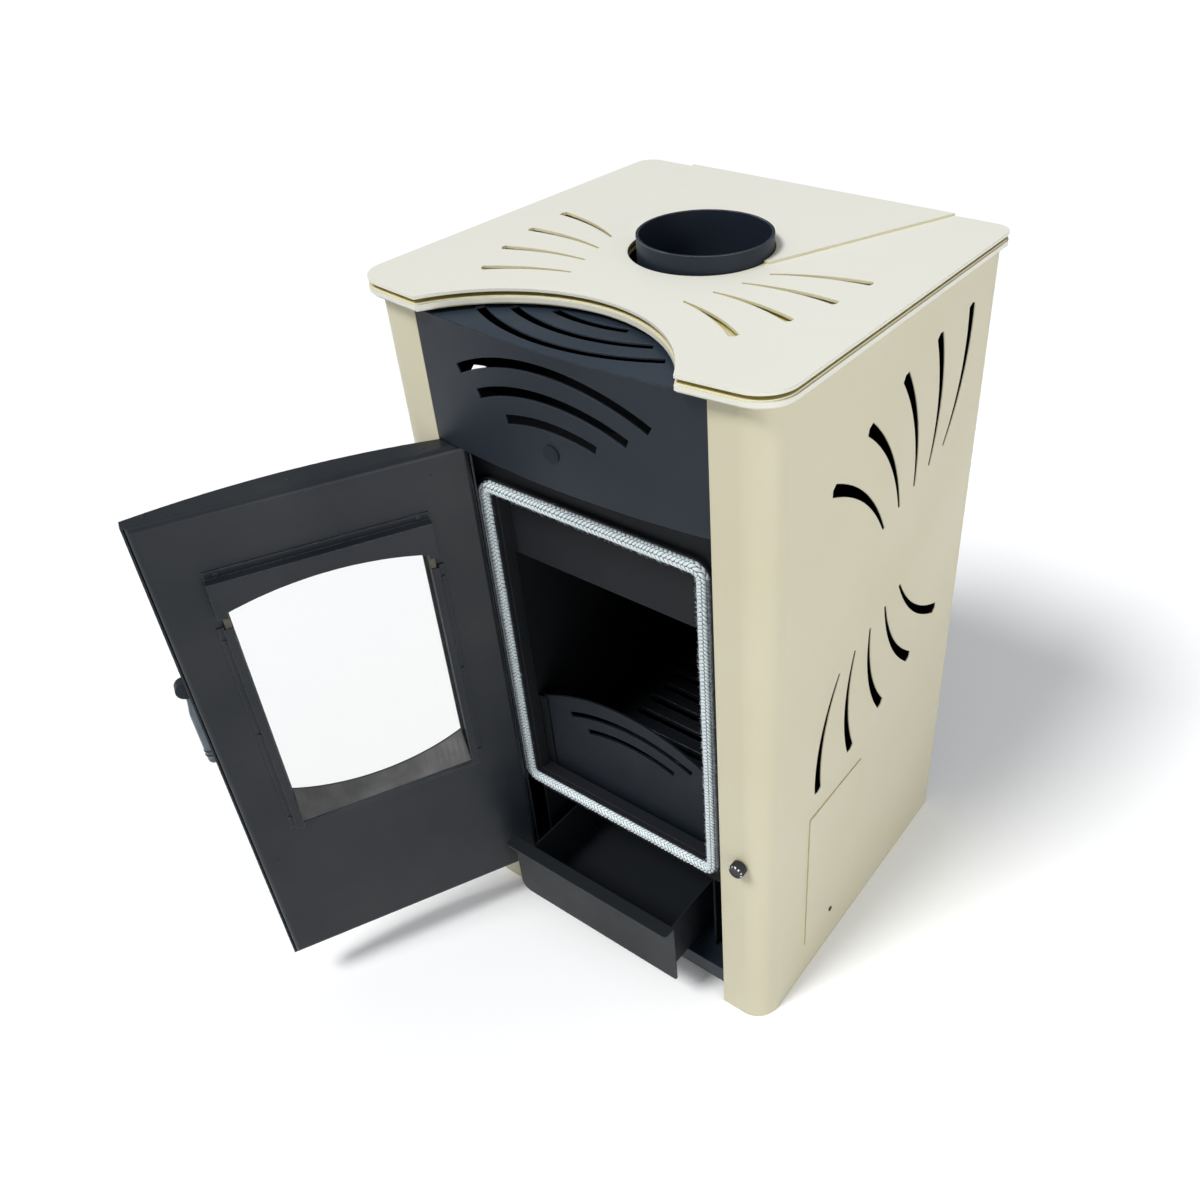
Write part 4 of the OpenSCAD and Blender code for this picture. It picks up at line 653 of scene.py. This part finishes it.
# Surface turned round an axis: start, plus distance along direction, plus radius times a circle across
# it. The profile holds distances and radii, and cut takes its depth off the radius.
def turned(start, direction, profile, steps, cut=None):
    direction = np.array(direction, float)
    helper = np.array([0.0, 0, 1]) if abs(direction[2]) < 0.9 else np.array([1.0, 0, 0])
    one = np.cross(direction, helper)
    one /= np.linalg.norm(one)
    two = np.cross(direction, one)
    angle = 2 * np.pi * np.arange(steps) / steps
    radius = np.repeat(profile[:, 1:2], steps, 1)
    if cut is not None:
        radius = radius - cut(profile[:, 0:1], angle[None, :])
    ring = np.cos(angle)[:, None] * one + np.sin(angle)[:, None] * two
    return np.array(start, float) + profile[:, 0, None, None] * direction + radius[..., None] * ring[None]


gripLook = {
    "x": 0.162, "y": -0.233, "top": 0.4695, "low": 0.37, "radius": 0.0065, "neck": 0.0038,
    "swellStart": 0.008, "swellLength": 0.024,
    "ring": 0.0072, "ringRound": 0.0002, "ringSteps": (0, 0.0003, 0.0008, 0.0012, 0.0017, 0.002),
    "ringPlaces": (0.0205, 0.0145), "beforeRings": 0.0215, "afterRings": 0.0075,    # back from its low end
    "capStart": 0.05, "curveSteps": 10, "around": 48,
}


# Turned grip: a neck that swells into a barrel by three t squared less two t cubed, two fine rings and
# a round end
def addGrip():
    look = gripLook
    radius, neck, ring = look["radius"], look["neck"], look["ring"]
    end = look["top"] - look["low"]
    t = np.linspace(0, 1, look["curveSteps"])
    swell = np.stack([look["swellStart"] + look["swellLength"] * t,
                      neck + (radius - neck) * (3 * t * t - 2 * t ** 3)], 1)
    shoulder = ring - look["ringRound"]
    bead = np.stack([look["ringSteps"], (radius, shoulder, ring, ring, shoulder, radius)], 1)
    beads = [bead + (end - back, 0) for back in look["ringPlaces"]]
    a = np.linspace(look["capStart"], math.pi / 2, look["curveSteps"])
    cap = np.stack([end - radius + radius * np.sin(a), np.maximum(radius * np.cos(a), pole)], 1)
    profile = np.concatenate([
        [(0, pole), (0, neck)], swell, [(end - look["beforeRings"], radius)], *beads,
        [(end - look["afterRings"], radius)], cap])
    start = opened(look["x"], look["y"], look["top"])
    points = turned(start, (0, 0, -1), profile, look["around"])
    piece = gridPiece("turned_grip", points, False, "chrome", "handle")
    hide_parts("handle_grip")
    print("grip turned")


knobLook = {
    "x": 0.194, "y": -0.218, "z": 0.275, "length": 0.012, "radius": 0.009, "teeth": 30, "cut": 0.0007,
    "neck": 0.007, "neckEnd": 0.0014, "backEnd": 0.0015, "backRound": 0.0002,
    "knurlStart": 0.0018, "knurlEnd": 0.0014, "knurlSteps": 26, "plain": 0.0003,
    "bevel": ((0.0009, 0.0004), (0.0004, 0.0011), (0.0001, 0.0016), (0, 0.0019)),    # back, and in
    "face": 0.0062, "dish": 0.0058, "dishDepth": 0.0004,
    "glints": 11, "glintLevel": 0.1, "rimRows": (-8, -4), "around": 240,
}


# Knurled knob: crossed knurling on its side, and a bevel round its front. The knurl is cut by one less
# the smaller of two sines, whose phases run round the knob and forward or back along it.
def addKnob():
    look = knobLook
    teeth, length, radius, around = look["teeth"], look["length"], look["radius"], look["around"]

    def knurl(distance, angle):
        one = np.abs(np.sin(teeth / 2 * (angle + distance / radius)))
        two = np.abs(np.sin(teeth / 2 * (angle - distance / radius)))
        held = (distance > look["backEnd"]) & (distance < length - look["plain"])
        return np.where(held, look["cut"] * (1 - np.minimum(one, two)), 0)

    back = [(0, pole), (0, look["neck"]), (look["neckEnd"], look["neck"]),
            (look["backEnd"], radius - look["backRound"])]
    along = np.linspace(look["knurlStart"], length - look["knurlEnd"], look["knurlSteps"])
    bevel = (length, radius) - np.array(look["bevel"])
    floor = length - look["dishDepth"]
    front = [(length, look["face"]), (floor, look["dish"]), (floor, pole)]
    profile = np.concatenate([back, np.stack([along, np.full_like(along, radius)], 1), bevel, front])
    points = turned((look["x"], look["y"], look["z"]), (0, -1, 0), profile, around, knurl)
    # Painted glints: bright spots at regular places round the rim rows
    rim = np.zeros(points.shape[:2])
    wave = np.sin(look["glints"] * 2 * np.pi * np.arange(around) / around)
    rim[slice(*look["rimRows"])] = wave > look["glintLevel"]
    piece = gridPiece("knurled_knob", points, False, "knob", "air_control", {"rim": rim})
    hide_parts("air_knob")
    print("knob knurled")


# Low heads on the door, with the door shut: rivets in its top and ground spot welds on its inner face
headLook = {
    "rivet": {"radius": 0.0021, "height": 0.0009, "places": [
        (-0.1156, -0.2142, 0.683), (0.0122, -0.2201, 0.683), (0.1396, -0.2188, 0.683)]},
    "weld": {"radius": 0.0022, "height": 0.0005, "places": [
        (-0.1149, -0.201, 0.6604), (0.1387, -0.201, 0.2246)]},
}
headSteps, headAround, headPole = 7, 20, 0.00005


# Domed head: height times the sine and radius times the cosine of an angle from 0 to 90 degrees
def addHeads():
    a = np.linspace(0, math.pi / 2, headSteps)
    for kind, look in headLook.items():
        profile = np.stack([look["height"] * np.sin(a), np.maximum(look["radius"] * np.cos(a), headPole)], 1)
        way = (0, 0, 1) if kind == "rivet" else tuple(opened(0, 1, 0) - opened(0, 0, 0))
        for number, place in enumerate(look["places"]):
            points = turned(opened(*place), way, profile, headAround)
            gridPiece(f"{kind}_{number + 1}", points, False, "door", "door")
    print("heads set")


# With the door shut: the panel's inner face is an arc round centre, and the sill runs from it to the tray
sillLook = {
    "left": -0.0955, "right": 0.1005, "tray": -0.203, "centre": 0.4831, "radius": 0.7181,
    "top": 0.27, "thick": 0.0012, "steps": 30, "lowest": 0.2717, "middle": 0.0025, "arch": 0.19135,
}


# Folded sill of the door's window: a strip whose far edge lies on two circles, the bowed panel's in
# plan and its opening's arch in height, and whose near edge is straight and level
def addSill():
    look = sillLook
    x = np.linspace(look["left"], look["right"], look["steps"])
    far = look["centre"] - np.sqrt(look["radius"] ** 2 - x ** 2)
    near = np.full_like(x, look["tray"])
    level = np.full_like(x, look["top"])
    rise = look["lowest"] + look["arch"] - np.sqrt(look["arch"] ** 2 - (x - look["middle"]) ** 2)
    thick = look["thick"]
    shut = np.stack([np.stack([x, y, z], 1)
                     for y, z in ((near, level), (far, rise), (far, rise - thick), (near, level - thick))], 1)
    # The two ends are drawn together to close them
    shut = np.concatenate([shut[:1].mean(1, keepdims=True).repeat(4, 1), shut,
                           shut[-1:].mean(1, keepdims=True).repeat(4, 1)])
    hinge = opened(0, 0, 0)
    across, along = opened(1, 0, 0) - hinge, opened(0, 1, 0) - hinge
    points = np.array(hinge) + shut[..., :1] * np.array(across) + shut[..., 1:2] * np.array(along)
    points[..., 2] = shut[..., 2]
    piece = gridPiece("window_sill", points, False, "sill", "door")
    piece.data.polygons.foreach_set("use_smooth", np.zeros(len(piece.data.polygons), bool))
    print("sill laid")


studioLook = {
    "floorHalf": 60, "floorSeen": "#fdfdfd", "floorBounce": "#b8b8b7", "floorLift": 0.05,
    "wallLow": "#8f8e8b", "wallHigh": "#bfc3c8", "wallStrength": 0.82, "white": "#ffffff",
    "sunPower": 2.35, "sunWidth": 18, "sunWay": (0.22, 0.6, -0.92),
    "fillPower": 24, "fillSize": 1.6, "fillPlace": (2.3, -0.7, 0.7), "fillAim": (0.2, 0, 0.4),
}


# Paper floor that keeps the shadow; it looks white where it is seen or mirrored, and lights the stove less
def addFloor():
    look = studioLook
    half = look["floorHalf"]
    mesh = bpy.data.meshes.new("floor")
    corners = [(-half, -half, 0), (half, -half, 0), (half, half, 0), (-half, half, 0)]
    mesh.from_pydata(corners, [], [(0, 1, 2, 3)])
    floor = bpy.data.objects.new("floor", mesh)
    scene.collection.objects.link(floor)
    material, tree, shader = newMaterial("pale floor")
    tree.nodes.remove(shader)
    rays = addNode(tree, "LightPath", "Is Camera Ray").node.outputs
    mirrored = addNode(tree, "Math", "Value", {
        0: rays["Is Glossy Ray"], 1: rays["Is Transmission Ray"]}, operation="MAXIMUM")
    seen = addNode(tree, "Math", "Value", {0: rays["Is Camera Ray"], 1: mirrored}, operation="MAXIMUM")
    lift = addNode(tree, "Math", "Value", {0: seen, 1: look["floorLift"]}, operation="MULTIPLY")
    colour = addNode(tree, "Mix", 2, {
        0: seen, 6: srgb(look["floorBounce"]), 7: srgb(look["floorSeen"])}, data_type="RGBA")
    paper = addNode(tree, "BsdfDiffuse", "BSDF", {"Color": colour})
    glow = addNode(tree, "Emission", "Emission", {"Color": srgb(look["white"]), "Strength": lift})
    both = addNode(tree, "AddShader", "Shader", {0: paper, 1: glow})
    plug(tree, tree.nodes["Material Output"], {"Surface": both})
    mesh.materials.append(material)


# Soft room light, brighter overhead; seen directly or through the glass, the room is plain white
def addRoom():
    look = studioLook
    world = bpy.data.worlds.new("studio")
    scene.world = world
    world.use_nodes = True
    tree = world.node_tree
    way = addNode(tree, "TexCoord", "Generated")
    up = addNode(tree, "SeparateXYZ", "Z", {"Vector": way})
    share = addNode(tree, "MapRange", "Result", {"Value": up})
    sky = addNode(tree, "Mix", 2, {
        0: share, 6: srgb(look["wallLow"]), 7: srgb(look["wallHigh"])}, data_type="RGBA")
    rays = addNode(tree, "LightPath", "Is Camera Ray").node.outputs
    seen = addNode(tree, "Math", "Value", {
        0: rays["Is Camera Ray"], 1: rays["Is Transmission Ray"]}, operation="MAXIMUM")
    plug(tree, tree.nodes["Background"], {
        "Color": addNode(tree, "Mix", 2, {0: seen, 6: sky, 7: srgb(look["white"])}, data_type="RGBA"),
        "Strength": addNode(tree, "MapRange", "Result", {
            "Value": seen, "To Min": look["wallStrength"], "To Max": 1})})


# Key light from the front and a little left, and a soft fill on the right flank
def addLamps():
    look = studioLook
    key = bpy.data.lights.new("key", "SUN")
    key.energy, key.angle = look["sunPower"], math.radians(look["sunWidth"])
    keyObject = bpy.data.objects.new("key", key)
    keyObject.rotation_euler = Vector(look["sunWay"]).to_track_quat("-Z", "Y").to_euler()
    scene.collection.objects.link(keyObject)

    fill = bpy.data.lights.new("fill", "AREA")
    fill.energy, fill.size = look["fillPower"], look["fillSize"]
    fillObject = bpy.data.objects.new("fill", fill)
    fillObject.location = look["fillPlace"]
    aim = Vector(look["fillAim"]) - fillObject.location
    fillObject.rotation_euler = aim.to_track_quat("-Z", "Y").to_euler()
    scene.collection.objects.link(fillObject)


def addStudio():
    addFloor()
    addRoom()
    addLamps()
    scene.view_settings.view_transform = "Standard"
    print("studio lit")


addCamera()
makeFinishes()
finishFrame()
addRope()
addGrip()
addKnob()
addHeads()
addSill()
addStudio()
